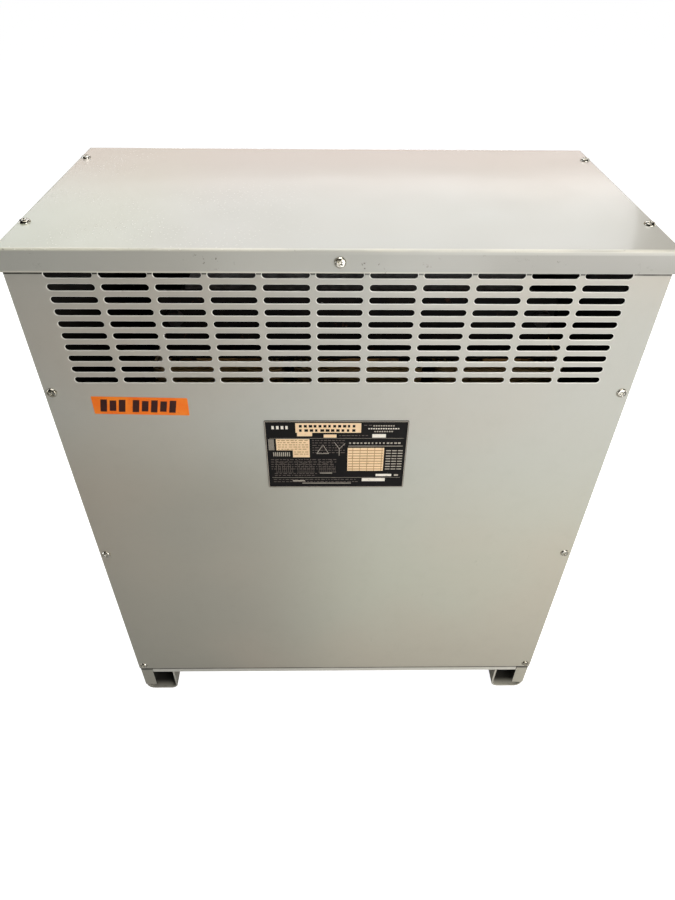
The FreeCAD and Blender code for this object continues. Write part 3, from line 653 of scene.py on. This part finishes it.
def loft(work, loops, closed=False):
    # Quads between loops of points that have the same count. Returns the loops' vertices.
    rows = [[work.verts.new(point) for point in loop] for loop in loops]
    pairs = list(zip(rows, rows[1:])) + ([(rows[-1], rows[0])] if closed else [])
    count = len(rows[0])
    for lower, upper in pairs:
        for index in range(count):
            following = (index + 1) % count
            work.faces.new((lower[index], lower[following], upper[following], upper[index]))
    return rows


def capEnds(work, rows):
    work.faces.new(reversed(rows[0]))
    work.faces.new(rows[-1])


def roundedLoop(centreX, centreY, halfX, halfY, radius, level, steps=6):
    # A level rectangle with rounded corners, counter-clockwise from above.
    points = []
    for turn, (signX, signY) in enumerate(((1, 1), (-1, 1), (-1, -1), (1, -1))):
        for step in range(steps + 1):
            angle = math.pi / 2 * (turn + step / steps)
            points.append(Vector((centreX + signX * (halfX - radius) + radius * math.cos(angle),
                                  centreY + signY * (halfY - radius) + radius * math.sin(angle), level)))
    return points


def boxInto(work, low, high):
    made = bmesh.ops.create_cube(work, size=1.0)["verts"]
    for vert in made:
        vert.co = Vector((a + b) / 2 + c * (b - a) for c, a, b in zip(vert.co, low, high))
    return made


def easeEdges(work, edges, width, segments, clamp=True):
    bmesh.ops.bevel(work, geom=edges, offset=width, segments=segments, affect="EDGES", profile=0.5,
                    clamp_overlap=clamp)


def blockInto(work, low, high, edge):
    edges = {side for vert in boxInto(work, low, high) for side in vert.link_edges}
    easeEdges(work, list(edges), edge, 1)


def slabInto(work, width, height, corner, steps, sections, onFace):
    # A thin plate with rounded corners, from (inset, level) sections laid on a face.
    loops = []
    for inset, out in sections:
        flat = roundedLoop(0, 0, width / 2 - inset, height / 2 - inset, corner, 0, steps)
        loops.append([onFace(point.x, point.y, out) for point in flat])
    capEnds(work, loft(work, loops))


def settled(holder):
    # The mesh that a curve or a set of modifiers comes to. Its object goes.
    mesh = bpy.data.meshes.new_from_object(holder.evaluated_get(bpy.context.evaluated_depsgraph_get()))
    bpy.data.objects.remove(holder)
    return mesh


facing = {
    "front": Matrix.Rotation(math.pi / 2, 3, "X"),
    "back": Matrix.Rotation(-math.pi / 2, 3, "X"),
    "top": Matrix.Identity(3),
}


def lathe(work, profile, place, turn, sides):
    # Spins a (radius, level) profile about an axis, then turns, places and caps it.
    loops = []
    for radius, level in profile:
        ring = [turn @ Vector((radius * math.cos(2 * math.pi * side / sides),
                               radius * math.sin(2 * math.pi * side / sides), level)) + place
                for side in range(sides)]
        loops.append(ring)
    capEnds(work, loft(work, loops))


def easedPiece(nodeName, edge, material, slotName):
    # The frame's own shape with its sharp edges rounded over, as sheared and painted steel has.
    work = bmesh.new()
    work.from_mesh(nodes[nodeName].data)
    bmesh.ops.remove_doubles(work, verts=work.verts, dist=0.01 * mm)
    bmesh.ops.dissolve_limit(work, angle_limit=math.radians(0.8), verts=work.verts, edges=work.edges)
    sharp = [side for side in work.edges if len(side.link_faces) == 2
             and side.calc_face_angle(0) > math.radians(35)]
    easeEdges(work, sharp, edge, 2)
    bmesh.ops.triangulate(work, faces=[face for face in work.faces if len(face.verts) > 4])
    for layer in list(work.loops.layers.float_vector.values()):
        work.loops.layers.float_vector.remove(layer)
    mesh = meshFrom(work, nodeName)
    if "custom_normal" in mesh.attributes:
        mesh.attributes.remove(mesh.attributes["custom_normal"])
    mesh.materials.clear()
    for polygon in mesh.polygons:
        polygon.material_index = 0
    materials = [material]
    if nodeName.endswith("side_panel"):
        shadeInside(mesh, (0, 1))
        materials.append(cabinetInsideShade)
    finishPiece(nodeName + "_eased", mesh, materials, slotName, [nodeName])


easedSets = (
    (0.3 * mm, cabinetPaint, "cabinet_paint", ("left_side_panel", "right_side_panel")),
    (0.35 * mm, cabinetPaint, "cabinet_paint", ("base_rail_front", "base_rail_back")),
    (0.5 * mm, cabinetPaint, "cabinet_paint", ("left_foot", "right_foot")),
    (0.8 * mm, clampEnamel, "clamp_paint", ("upper_clamp_front", "upper_clamp_back", "lower_clamp_front",
                                            "lower_clamp_back")),
    (0.5 * mm, cabinetPaint, "cabinet_paint", ("support_channel_front", "support_channel_back")),
    (1.0 * mm, spacerBoard, "spacer_board", ("lower_spacer_blocks", "upper_spacer_blocks")),
    (1.2 * mm, padRubber, "pad_rubber", ("isolator_pads",)),
)
for edge, material, slotName, nodeNames in easedSets:
    for nodeName in nodeNames:
        easedPiece(nodeName, edge, material, slotName)
print("eased pieces made:", sum(len(nodeNames) for edge, material, slotName, nodeNames in easedSets))


panelSlots = {
    "columns": 11,
    "rows": 10,
    "margin": 40.9 * mm,
    "bridge": 6.4 * mm,
    "height": 7.5 * mm,
    "rowPitch": 14.58 * mm,
    "topDrop": 28.6 * mm,
    "edge": 0.78 * mm,  # how far the punched rims are rounded over
    "rimBorder": 3.0 * mm,  # outer edges nearer than this keep the plain enamel
    "rimTurn": 0.97,  # faces turned further than this from the panel's own belong to a rim
    "endSteps": 10,
}


def obroundPoints(centreX, centreY, length, height, steps):
    radius = height / 2
    points = []
    for start, side in ((-math.pi / 2, 1), (math.pi / 2, -1)):
        for step in range(steps + 1):
            angle = start + math.pi * step / steps
            points.append((centreX + side * (length / 2 - radius) + radius * math.cos(angle),
                           centreY + radius * math.sin(angle)))
    return points


def addOutline(curve, points):
    spline = curve.splines.new("POLY")
    spline.points.add(len(points) - 1)
    for point, (across, up) in zip(spline.points, points):
        point.co = (across, up, 0, 1)
    spline.use_cyclic_u = True


def slottedPanel(nodeName):
    low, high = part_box(nodeName)
    width = high.x - low.x
    pitch = (width - 2 * panelSlots["margin"] + panelSlots["bridge"]) / panelSlots["columns"]
    curve = bpy.data.curves.new(nodeName, "CURVE")
    curve.dimensions = "2D"
    curve.fill_mode = "BOTH"
    curve.extrude = (high.y - low.y) / 2 - panelSlots["edge"]
    curve.bevel_depth = panelSlots["edge"]
    curve.bevel_resolution = 2
    curve.offset = -panelSlots["edge"]
    addOutline(curve, [(low.x, low.z), (high.x, low.z), (high.x, high.z), (low.x, high.z)])
    for column in range(panelSlots["columns"]):
        for row in range(panelSlots["rows"]):
            across = (low.x + high.x) / 2 + (column - (panelSlots["columns"] - 1) / 2) * pitch
            up = coverLevel - panelSlots["topDrop"] - row * panelSlots["rowPitch"]
            addOutline(curve, obroundPoints(across, up, pitch - panelSlots["bridge"], panelSlots["height"],
                                            panelSlots["endSteps"]))
    holder = addObject(nodeName + "_outline", curve)
    mesh = settled(holder)
    mesh.materials.clear()
    stand = Matrix.Translation((0, (low.y + high.y) / 2, 0)) @ Matrix.Rotation(math.pi / 2, 4, "X")
    mesh.transform(stand)
    work = bmesh.new()
    work.from_mesh(mesh)
    bmesh.ops.remove_doubles(work, verts=work.verts, dist=0.004 * mm)
    work.to_mesh(mesh)
    work.free()
    shadeInside(mesh, (1,))
    # faces of the punched rims take the third material, the painted highlight
    border = panelSlots["rimBorder"]
    for polygon in mesh.polygons:
        middle = polygon.center
        within = low.x + border < middle.x < high.x - border and low.z + border < middle.z < high.z - border
        if within and abs(polygon.normal.y) < panelSlots["rimTurn"]:
            polygon.material_index = 2
    finishPiece(nodeName + "_slotted", mesh, [cabinetPaint, cabinetInsideShade, rimHighlightPaint], "cabinet_paint",
                [nodeName], 50)


slottedPanel("front_panel")
slottedPanel("back_panel")
print("slotted panels made")


coverSheet = {
    "thickness": 1.9 * mm,
    "bend": 2.5 * mm,
    "corner": 2.3 * mm,
    "gridStep": 20 * mm,
    "sag": 0.5 * mm,     # how far the flat of the top dips
    "sagStart": 4.0 * mm,
    "sagReach": 50.0 * mm,
    "sagGrain": 7.0,
    "lipWave": 0.35 * mm,
    "lipGrain": 14,
    "hemEase": 0.3 * mm,
}


def makeCover():
    low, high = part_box("top_cover")
    work = bmesh.new()
    boxInto(work, low, high)
    middle = (low + high) / 2
    bmesh.ops.delete(work, geom=[face for face in work.faces if face.normal.z < -0.5], context="FACES_ONLY")
    upright = [side for side in work.edges if abs(side.verts[0].co.z - side.verts[1].co.z) > 1 * mm]
    easeEdges(work, upright, coverSheet["corner"], 4, False)
    around = [side for side in work.edges if len(side.link_faces) == 2
              and all(abs(vert.co.z - high.z) < 0.01 * mm for vert in side.verts)]
    easeEdges(work, around, coverSheet["bend"], 6, False)
    step = coverSheet["gridStep"]
    for axis in (0, 1):
        count = int((high[axis] - low[axis]) / step)
        normal = Vector((1, 0, 0)) if axis == 0 else Vector((0, 1, 0))
        for index in range(1, count + 1):
            across = low[axis] + (high[axis] - low[axis]) * index / (count + 1)
            bmesh.ops.bisect_plane(work, geom=work.verts[:] + work.edges[:] + work.faces[:], dist=1e-7,
                                   plane_co=normal * across, plane_no=normal)
    # the flat of the top dips a little and the lips wander, always inwards
    for vert in work.verts:
        here = vert.co.copy()
        inside = min(here.x - low.x, high.x - here.x, here.y - low.y, high.y - here.y)
        share = min(1.0, max(0.0, inside - coverSheet["sagStart"]) / coverSheet["sagReach"])
        dip = 0.55 + 0.45 * noise.noise(here * coverSheet["sagGrain"])
        vert.co.z -= coverSheet["sag"] * share * dip
        if here.z < high.z - 15 * mm:
            along = Vector((here.x * coverSheet["lipGrain"], here.y * coverSheet["lipGrain"], 3.0))
            wander = coverSheet["lipWave"] * (0.5 + 0.5 * noise.noise(along))
            vert.co.x -= math.copysign(wander, here.x - middle.x) if abs(here.x - middle.x) > 0.34 else 0
            vert.co.y -= math.copysign(wander, here.y - middle.y) if abs(here.y - middle.y) > 0.17 else 0
    skin = addObject("coverSkin", meshFrom(work, "coverSkin"))
    solid = skin.modifiers.new("sheet", "SOLIDIFY")
    solid.thickness = coverSheet["thickness"]
    solid.offset = -1
    solid.use_even_offset = True
    ease = skin.modifiers.new("ease", "BEVEL")
    ease.width = coverSheet["hemEase"]
    ease.segments = 2
    ease.limit_method = "ANGLE"
    ease.angle_limit = math.radians(60)
    final = settled(skin)
    final.name = "topCover"
    shadeInside(final, (0, 1, 2))
    finishPiece("top_cover_formed", final, [coverPaint, cabinetInsideShade], "cabinet_paint", ["top_cover"], 50)


makeCover()
print("top cover made")


panScrew = {
    "headRadius": 6.25 * mm,
    "headHeight": 3.1 * mm,
    "crown": 0.9 * mm,
    "recessReach": 3.1 * mm,
    "recessWidth": 0.85 * mm,
    "recessDepth": 1.9 * mm,
    "shankRadius": 2.9 * mm,
    "rootRadius": 2.3 * mm,
    "length": 11.8 * mm,
    "threadPitch": 1.4 * mm,
    "sides": 40,
    "rings": 17,
    "threadSides": 14,
    "threadStart": 0.02 * mm,
    "tip": 0.6 * mm,
}


def easeIn(value):
    value = min(1.0, max(0.0, value))
    return value * value * (3 - 2 * value)


def headLevel(across, up):
    # Level of the head's outer face: a shallow dome with a cross recess.
    reach = math.hypot(across, up) / panScrew["headRadius"]
    level = panScrew["headHeight"] - panScrew["crown"] * reach ** 2
    level -= (panScrew["headHeight"] - panScrew["crown"]) * easeIn((reach - 0.8) / 0.24) * 0.75
    arms = []
    for first, second in ((across, up), (up, across)):
        narrow = easeIn((panScrew["recessWidth"] - abs(first)) / (0.5 * panScrew["recessWidth"]))
        long = easeIn((panScrew["recessReach"] - abs(second)) / (0.55 * panScrew["recessReach"]))
        arms.append(narrow * long)
    return level - panScrew["recessDepth"] * max(arms)


def screwInto(work, place, turn, spin):
    sides, rings = panScrew["sides"], panScrew["rings"]
    angles = [2 * math.pi * side / sides for side in range(sides)]

    def headPoint(radius, angle, level):
        flat = Vector((radius * math.cos(angle), radius * math.sin(angle), 0))
        height = headLevel(flat.x, flat.y) if level is None else level
        return turn @ (Matrix.Rotation(spin, 3, "Z") @ (flat + Vector((0, 0, height)))) + place

    radii = [panScrew["headRadius"] * ring / rings for ring in range(1, rings + 1)]
    loops = [[headPoint(radius, angle, None) for angle in angles] for radius in radii]
    rows = loft(work, loops + [[headPoint(panScrew["headRadius"], angle, 0) for angle in angles]])
    centre = work.verts.new(headPoint(0, 0, None))
    for index in range(sides):
        work.faces.new((centre, rows[0][index], rows[0][(index + 1) % sides]))
    work.faces.new(reversed(rows[-1]))
    thread = [(panScrew["shankRadius"], -panScrew["threadStart"])]
    for index in range(int(panScrew["length"] / panScrew["threadPitch"])):
        level = -(index + 0.5) * panScrew["threadPitch"]
        thread.append((panScrew["rootRadius"], level))
        thread.append((panScrew["shankRadius"], level - 0.5 * panScrew["threadPitch"]))
    thread.append((panScrew["tip"], -panScrew["length"]))
    lathe(work, thread[::-1], place, turn, panScrew["threadSides"])


def screwSet(nodeName, places, seed):
    # One joined mesh with a screw on each of the node's screw places.
    chance = random.Random(seed)
    work = bmesh.new()
    for side, place in places:
        screwInto(work, Vector(place), facing[side], chance.uniform(0, math.pi / 2))
    finishPiece(nodeName + "_detailed", meshFrom(work, nodeName), [zincPlate], "zinc_plate",
                [nodeName], 45)


screwPlaces = {
    "panelInset": 9.6 * mm,
    "upperDrop": 177.7 * mm,
    "middleLevel": 382.2 * mm,
    "lowerRise": 10.9 * mm,
    "lipDrop": 13.5 * mm,
    "coverInset": 9.0 * mm,
    "coverFront": 69.0 * mm,
    "coverBack": 47.0 * mm,
}


def placeScrews():
    low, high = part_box("front_panel")
    coverLow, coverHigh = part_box("top_cover")
    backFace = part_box("back_panel")[1].y
    levels = (coverHigh.z - screwPlaces["upperDrop"], screwPlaces["middleLevel"],
              low.z + screwPlaces["lowerRise"])
    columns = (high.x - screwPlaces["panelInset"], low.x + screwPlaces["panelInset"])
    for side, face, seed in (("front", low.y, 3), ("back", backFace, 5)):
        screwSet(side + "_panel_screws", [(side, (x, face, z)) for x in columns for z in levels], seed)
    coverX = coverHigh.x - screwPlaces["coverInset"]
    tops = [("top", (sign * coverX, y, coverHigh.z)) for sign in (1, -1)
            for y in (low.y + screwPlaces["coverFront"], backFace - screwPlaces["coverBack"])]
    lipLevel = coverHigh.z - screwPlaces["lipDrop"]
    lips = [("front", (0, coverLow.y, lipLevel)), ("back", (0, coverHigh.y, lipLevel))]
    screwSet("cover_screws", tops + lips, 7)


placeScrews()
print("screws made")


plate = {
    "corner": 1.6 * mm,
    "edge": 0.25 * mm,
    "printLift": 0.05 * mm,
    "inkLift": 0.03 * mm,  # marks over the pale fields
    "border": 0.9 * mm,
    "line": 0.7 * mm,
    "thinLine": 0.56 * mm,
    "rimLine": 0.8 * mm,
    "ruleLine": 0.3 * mm,
}


def platePrint():
    # Generic fields, rules and winding diagrams as shares of the plate: (left, top, right, bottom, ink).
    fields = [
        (0.215, 0.03, 0.67, 0.165, "beige"), (0.225, 0.165, 0.33, 0.215, "beige"),
        (0.41, 0.19, 0.5, 0.235, "beige"), (0.75, 0.185, 0.845, 0.235, "pale"),
        (0.075, 0.255, 0.31, 0.42, "beige"), (0.19, 0.42, 0.31, 0.525, "beige"),
        (0.58, 0.385, 0.84, 0.735, "beige"), (0.79, 0.785, 0.905, 0.82, "pale"),
        (0.925, 0.79, 0.955, 0.815, "grey"), (0.69, 0.85, 0.86, 0.9, "pale"),
        (0.38, 0.765, 0.47, 0.775, "grey"), (0.25, 0.925, 0.61, 0.935, "grey"),
        (0.18, 0.885, 0.27, 0.9, "grey"),
    ]
    chance = random.Random(11)

    def add(left, top, width, height, ink):
        fields.append((left, top, left + width, top + height, ink))

    for top, count in ((0.055, 12), (0.115, 11)):
        pitch = 0.405 / count
        for index in range(count):
            add(0.24 + pitch * index, top, pitch * chance.uniform(0.45, 0.75), 0.036, "black")
    for index in range(4):
        add(0.05 + 0.032 * index, 0.07, chance.uniform(0.016, 0.026), 0.045, "pale")
    for top, count, ink in ((0.06, 9, "grey"), (0.1, 13, "pale"), (0.14, 8, "grey")):
        for index in range(count):
            add(0.83 - 0.0085 * count + 0.017 * index, top, 0.011, 0.016, ink)
    for row in range(13):
        add(0.02, 0.26 + 0.0125 * row, 0.04, 0.006, "grey")
    for index in range(9):
        add(0.05 + 0.014 * index, 0.45, 0.007, 0.06, "grey")
    # tap table: rules across the pale part, grey columns to its right
    for row in range(8):
        add(0.585, 0.42 + 0.04 * row, 0.25, 0.012, "tan")
        for column in range(3):
            add(0.855 + 0.042 * column, 0.42 + 0.04 * row, 0.034, 0.014, "grey")
    add(0.585, 0.355, 0.385, 0.007, "grey")
    # faint rows of short marks: in the pale boxes, beside the symbols and along the foot
    rowSets = (
        # top, left, right, rows, pitch, ink
        (0.27, 0.085, 0.3, 5, 0.032, "tan"), (0.44, 0.2, 0.3, 2, 0.032, "tan"),
        (0.555, 0.03, 0.5, 5, 0.036, "dim"), (0.865, 0.04, 0.66, 2, 0.036, "dim"),
        (0.27, 0.33, 0.56, 6, 0.036, "dim"), (0.77, 0.05, 0.36, 2, 0.03, "dim"),
        (0.055, 0.69, 0.76, 1, 0.03, "dim"), (0.2, 0.52, 0.72, 1, 0.03, "dim"),
    )
    for top, left, right, rows, pitch, ink in rowSets:
        for row in range(rows):
            start = left
            while start < right - 0.012:
                width = chance.uniform(0.008, 0.03)
                add(start, top + pitch * row, min(width, right - start), 0.011, ink)
                start += width + chance.uniform(0.005, 0.012)
    for column in range(5):
        add(0.615 + 0.052 * column, 0.385, 0.004, 0.35, "tan")
    for index in range(14):
        add(0.59 + 0.0265 * index, 0.305, chance.uniform(0.01, 0.02), 0.02, "grey")
    return fields


def inkInto(work, corners, depth, inkIndex):
    # A printed shape as a closed film: its face, and the same outline a film's depth behind it.
    rows = loft(work, [corners, [corner + Vector((0, depth, 0)) for corner in corners]])
    caps = [work.faces.new(rows[0]), work.faces.new(reversed(rows[1]))]
    for face in caps + [face for vert in rows[0] for face in vert.link_faces]:
        face.material_index = inkIndex


def strokeInto(work, points, width, toWorld, inkIndex):
    # A drawn line of small width through points given in plate shares.
    lift = plate["inkLift"]
    for (startX, startY), (endX, endY) in zip(points, points[1:]):
        start, end = toWorld(startX, startY, lift), toWorld(endX, endY, lift)
        side = (end - start).normalized().cross(Vector((0, 1, 0))) * width / 2
        corners = [start - side, end - side, end + side, start + side]
        inkInto(work, corners, plate["printLift"] + lift, inkIndex)


def makeNameplate():
    low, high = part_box("nameplate")
    middle = (low + high) / 2
    size = high - low
    edge = plate["edge"]
    sections = [(0, 0), (0, size.y - edge), (edge * 0.3, size.y - edge * 0.3), (edge, size.y)]
    work = bmesh.new()
    slabInto(work, size.x, size.z, plate["corner"], 5, sections,
             lambda across, up, out: Vector((middle.x + across, high.y - out, middle.z + up)))
    finishPiece("nameplate_body", meshFrom(work, "nameplateBody"), [plateBlack], "nameplate_black",
                ["nameplate"])

    inks = {"beige": plateBeige, "pale": platePale, "grey": plateGrey, "black": plateBlack, "tan": plateTan,
            "dim": plateDim}
    order = list(inks)
    grey, dim = order.index("grey"), order.index("dim")
    face = low.y - plate["printLift"]

    def toWorld(across, down, lift):
        return Vector((low.x + across * size.x, face - lift, high.z - down * size.z))

    work = bmesh.new()
    for left, top, right, bottom, ink in platePrint():
        lift = 0.0 if ink in ("beige", "pale") else plate["inkLift"]
        corners = [toWorld(left, top, lift), toWorld(left, bottom, lift), toWorld(right, bottom, lift),
                   toWorld(right, top, lift)]
        inkInto(work, corners, plate["printLift"] + lift, order.index(ink))
    # a triangle and a star, as on any three-phase plate
    triangle = [(0.36, 0.47), (0.405, 0.34), (0.445, 0.47), (0.36, 0.47)]
    star = [[(0.52, 0.40), tip] for tip in ((0.485, 0.3), (0.56, 0.32), (0.52, 0.5))]
    for points in [triangle] + star:
        strokeInto(work, points, plate["line"], toWorld, grey)
    # three winding diagrams as rows of short uprights on a base line
    for group in range(3):
        start = 0.06 + 0.155 * group
        strokeInto(work, [(start, 0.755), (start + 0.13, 0.755)], plate["line"], toWorld, dim)
        for turn in range(9):
            across = start + 0.006 + 0.0145 * turn
            upright = [(across, 0.75), (across, 0.6 + 0.03 * (turn % 3))]
            strokeInto(work, upright, plate["thinLine"], toWorld, dim)
        peak = [(start, 0.57), (start + 0.05, 0.63), (start + 0.1, 0.57)]
        strokeInto(work, peak, plate["thinLine"], toWorld, dim)
    near = plate["border"] / size.x
    far = 1 - near
    rim = [(near, 2 * near), (far, 2 * near), (far, 1 - 2 * near), (near, 1 - 2 * near), (near, 2 * near)]
    strokeInto(work, rim, plate["rimLine"], toWorld, grey)
    for level in (0.245, 0.84):
        strokeInto(work, [(0.03, level), (0.97, level)], plate["ruleLine"], toWorld, grey)
    finishPiece("nameplate_print", meshFrom(work, "nameplatePrint"), list(inks.values()), "nameplate_black",
                ["nameplate"])


marker = {
    "width": 114.3 * mm,
    "height": 25.8 * mm,
    "tilt": 1.3,  # degrees
    "cornerRadius": 1.2 * mm,
    "edge": 0.12 * mm,
    "lift": 0.06 * mm,
    "slant": 0.18,
    "barSets": (3, 5),
    "barHeight": 18.0 * mm,
    "shortBar": 0.86,
    "barWidth": 7.8 * mm,
    "barGap": 3.2 * mm,
    "setGap": 5.5 * mm,
    "barsFrom": -48.0 * mm,
}


def makeMarker():
    low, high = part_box("voltage_marker")
    middle = (low + high) / 2
    turn = Matrix.Rotation(math.radians(marker["tilt"]), 3, "Y")

    def onPanel(across, up, out):
        return Vector((middle.x, high.y - out, middle.z)) + turn @ Vector((across, 0, up))

    work = bmesh.new()
    thick = high.y - low.y
    sections = ((0, 0), (0, thick * 0.7), (marker["edge"], thick))
    slabInto(work, marker["width"], marker["height"], marker["cornerRadius"], 4, sections, onPanel)
    finishPiece("voltage_marker_strip", meshFrom(work, "markerStrip"), [markerVinyl], "marker_orange",
                ["voltage_marker"])

    # generic dark bars in two sets, leaning like hand-set capitals
    work = bmesh.new()
    left, wide = marker["barsFrom"], marker["barWidth"]
    for count in marker["barSets"]:
        for index in range(count):
            tall = marker["barHeight"] * (1 if index % 2 == 0 else marker["shortBar"])
            corners = []
            for across, up in ((0, -tall / 2), (wide, -tall / 2), (wide, tall / 2), (0, tall / 2)):
                corners.append(onPanel(left + across + marker["slant"] * up, up, thick + marker["lift"]))
            inkInto(work, corners, marker["lift"], 0)
            left += wide + marker["barGap"]
        left += marker["setGap"]
    finishPiece("voltage_marker_bars", meshFrom(work, "markerBars"), [markerInk], "marker_orange",
                ["voltage_marker"])


makeNameplate()
makeMarker()
print("nameplate and marker made")


coreStack = {"packet": 7.5 * mm, "stray": 0.35 * mm, "edge": 0.3 * mm}


def laminatedBlock(nodeName, seed):
    # Packets of sheet steel, each a hair out of line with the next.
    low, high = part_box(nodeName)
    chance = random.Random(seed)
    count = round((high.y - low.y) / coreStack["packet"])
    thick = (high.y - low.y) / count
    work = bmesh.new()
    for index in range(count):
        inset = [chance.uniform(0, coreStack["stray"]) for corner in range(4)]
        start = low.y + index * thick
        blockInto(work, (low.x + inset[0], start, low.z + inset[1]),
                  (high.x - inset[2], start + thick, high.z - inset[3]), coreStack["edge"])
    finishPiece(nodeName + "_laminated", meshFrom(work, nodeName), [coreSteel], "core_steel", [nodeName])


coil = {
    "innerBuild": 16.0 * mm,
    "outerBuild": 20.0 * mm,
    "corner": 14.0 * mm,
    "leastCorner": 1.0 * mm,
    "turnPitch": 9.0 * mm,
    "turnDip": 0.7 * mm,
    "endCollar": 12.0 * mm,
    "layer": 2.2 * mm,
    "collarDrop": 7.0 * mm,
    "tieWidth": 18.0 * mm,
    "tieThick": 0.5 * mm,
    "tieSunk": 0.3 * mm,
    "tieEnd": 2.0 * mm,
    "tieEdge": 0.15 * mm,
}


def woundCoil(nodeName, build, material, slotName, tied):
    # A rectangular coil: wound turns on the outside, paper layers stepped back at both ends.
    low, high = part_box(nodeName)
    middle = (low + high) / 2
    halfX, halfY = (high.x - low.x) / 2, (high.y - low.y) / 2

    def loop(depth, level):
        radius = max(coil["leastCorner"], coil["corner"] - depth)
        return roundedLoop(middle.x, middle.y, halfX - depth, halfY - depth, radius, level)

    shell = coil["tieThick"] + 0.1 * mm if tied else 0.0
    loops = [loop(shell, low.z), loop(shell, low.z + coil["endCollar"])]
    turns = round((high.z - low.z - 2 * coil["endCollar"]) / coil["turnPitch"])
    pitch = (high.z - low.z - 2 * coil["endCollar"]) / turns
    for index in range(turns):
        bottom = low.z + coil["endCollar"] + index * pitch
        for share, dip in ((0.06, 1.0), (0.2, 0.25), (0.5, 0.0), (0.8, 0.25), (0.94, 1.0)):
            loops.append(loop(shell + coil["turnDip"] * dip, bottom + share * pitch))
    loops += [loop(shell, high.z - coil["endCollar"]), loop(shell, high.z)]
    # stepped paper and conductor layers across the top, down the bore, and back across the bottom
    steps = []
    depth = shell + coil["layer"]
    dropped = False
    while depth < build - coil["layer"]:
        dropped = not dropped
        steps.append((depth, coil["collarDrop"] if dropped else 0.0))
        depth += coil["layer"] * (2.4 if dropped else 1.0)
    edges = []
    before = 0.0
    for depth, drop in steps:
        edges += [(depth, before), (depth, drop)]
        before = drop
    edges.append((build, before))
    loops += [loop(depth, high.z - drop) for depth, drop in edges]
    loops += [loop(depth, low.z + drop) for depth, drop in reversed(edges)]
    work = bmesh.new()
    loft(work, loops, closed=True)
    if tied:
        # glass-tape ties down the front and back faces
        half, end = coil["tieWidth"] / 2, coil["tieEnd"]
        for face in (-1, 1):
            sunk = halfY - shell - coil["tieSunk"]
            near, far = sorted((middle.y + face * halfY, middle.y + face * sunk))
            for x in (middle.x - halfX / 2, middle.x + halfX / 2):
                blockInto(work, (x - half, near, low.z + end), (x + half, far, high.z - end),
                          coil["tieEdge"])
    finishPiece(nodeName + "_wound", meshFrom(work, nodeName), [material], slotName, [nodeName], 45)


for seed, nodeName in enumerate(("lower_yoke", "upper_yoke", "core_leg_left", "core_leg_centre",
                                 "core_leg_right")):
    laminatedBlock(nodeName, 20 + seed)
for side in ("left", "centre", "right"):
    woundCoil("inner_winding_" + side, coil["innerBuild"], innerWrap, "inner_insulation", False)
    woundCoil("outer_winding_" + side, coil["outerBuild"], outerWrap, "outer_insulation", True)
print("core and coils made")


hexBolt = {
    "flats": 19.0 * mm,
    "headHeight": 6.0 * mm,
    "chamfer": 1.2 * mm,
    "washerRadius": 11.5 * mm,
    "washer": 2.0 * mm,
    "washerEase": 0.3 * mm,
    "washerSides": 32,
    "rod": 6.0 * mm,
    "rodSides": 24,
    "inset": 16.0 * mm,
}


def hexInto(work, place, turn, bottom, height):
    # A hexagon whose outer corners are turned off by a chamfer.
    reach = hexBolt["flats"] / math.sqrt(3)
    levels = ((reach, bottom), (reach, bottom + height - hexBolt["chamfer"] * 0.5),
              (reach - hexBolt["chamfer"], bottom + height))
    lathe(work, levels, place, turn, 6)


def boltSet(nodeName):
    low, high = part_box(nodeName)
    clampLow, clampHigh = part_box(nodeName.replace("_bolts", "_front"))
    level = (low.z + high.z) / 2
    wide, thick, ease = hexBolt["washerRadius"], hexBolt["washer"], hexBolt["washerEase"]
    washer = [(wide - ease, 0), (wide, ease), (wide, thick - ease), (wide - ease, thick)]
    reach = high.y - hexBolt["headHeight"]
    rod = [(hexBolt["rod"], -reach), (hexBolt["rod"], reach)]
    work = bmesh.new()
    for x in (clampLow.x + hexBolt["inset"], clampHigh.x - hexBolt["inset"]):
        for face, turn in ((low.y, facing["front"]), (high.y, facing["back"])):
            base = Vector((x, face - math.copysign(hexBolt["headHeight"] + thick, face), level))
            lathe(work, washer, base, turn, hexBolt["washerSides"])
            hexInto(work, base, turn, thick, hexBolt["headHeight"])
        lathe(work, rod, Vector((x, 0, level)), facing["front"], hexBolt["rodSides"])
    finishPiece(nodeName + "_detailed", meshFrom(work, nodeName), [dullSteel], "bolt_steel", [nodeName])


boltSet("upper_clamp_bolts")
boltSet("lower_clamp_bolts")
print("clamp bolts made")
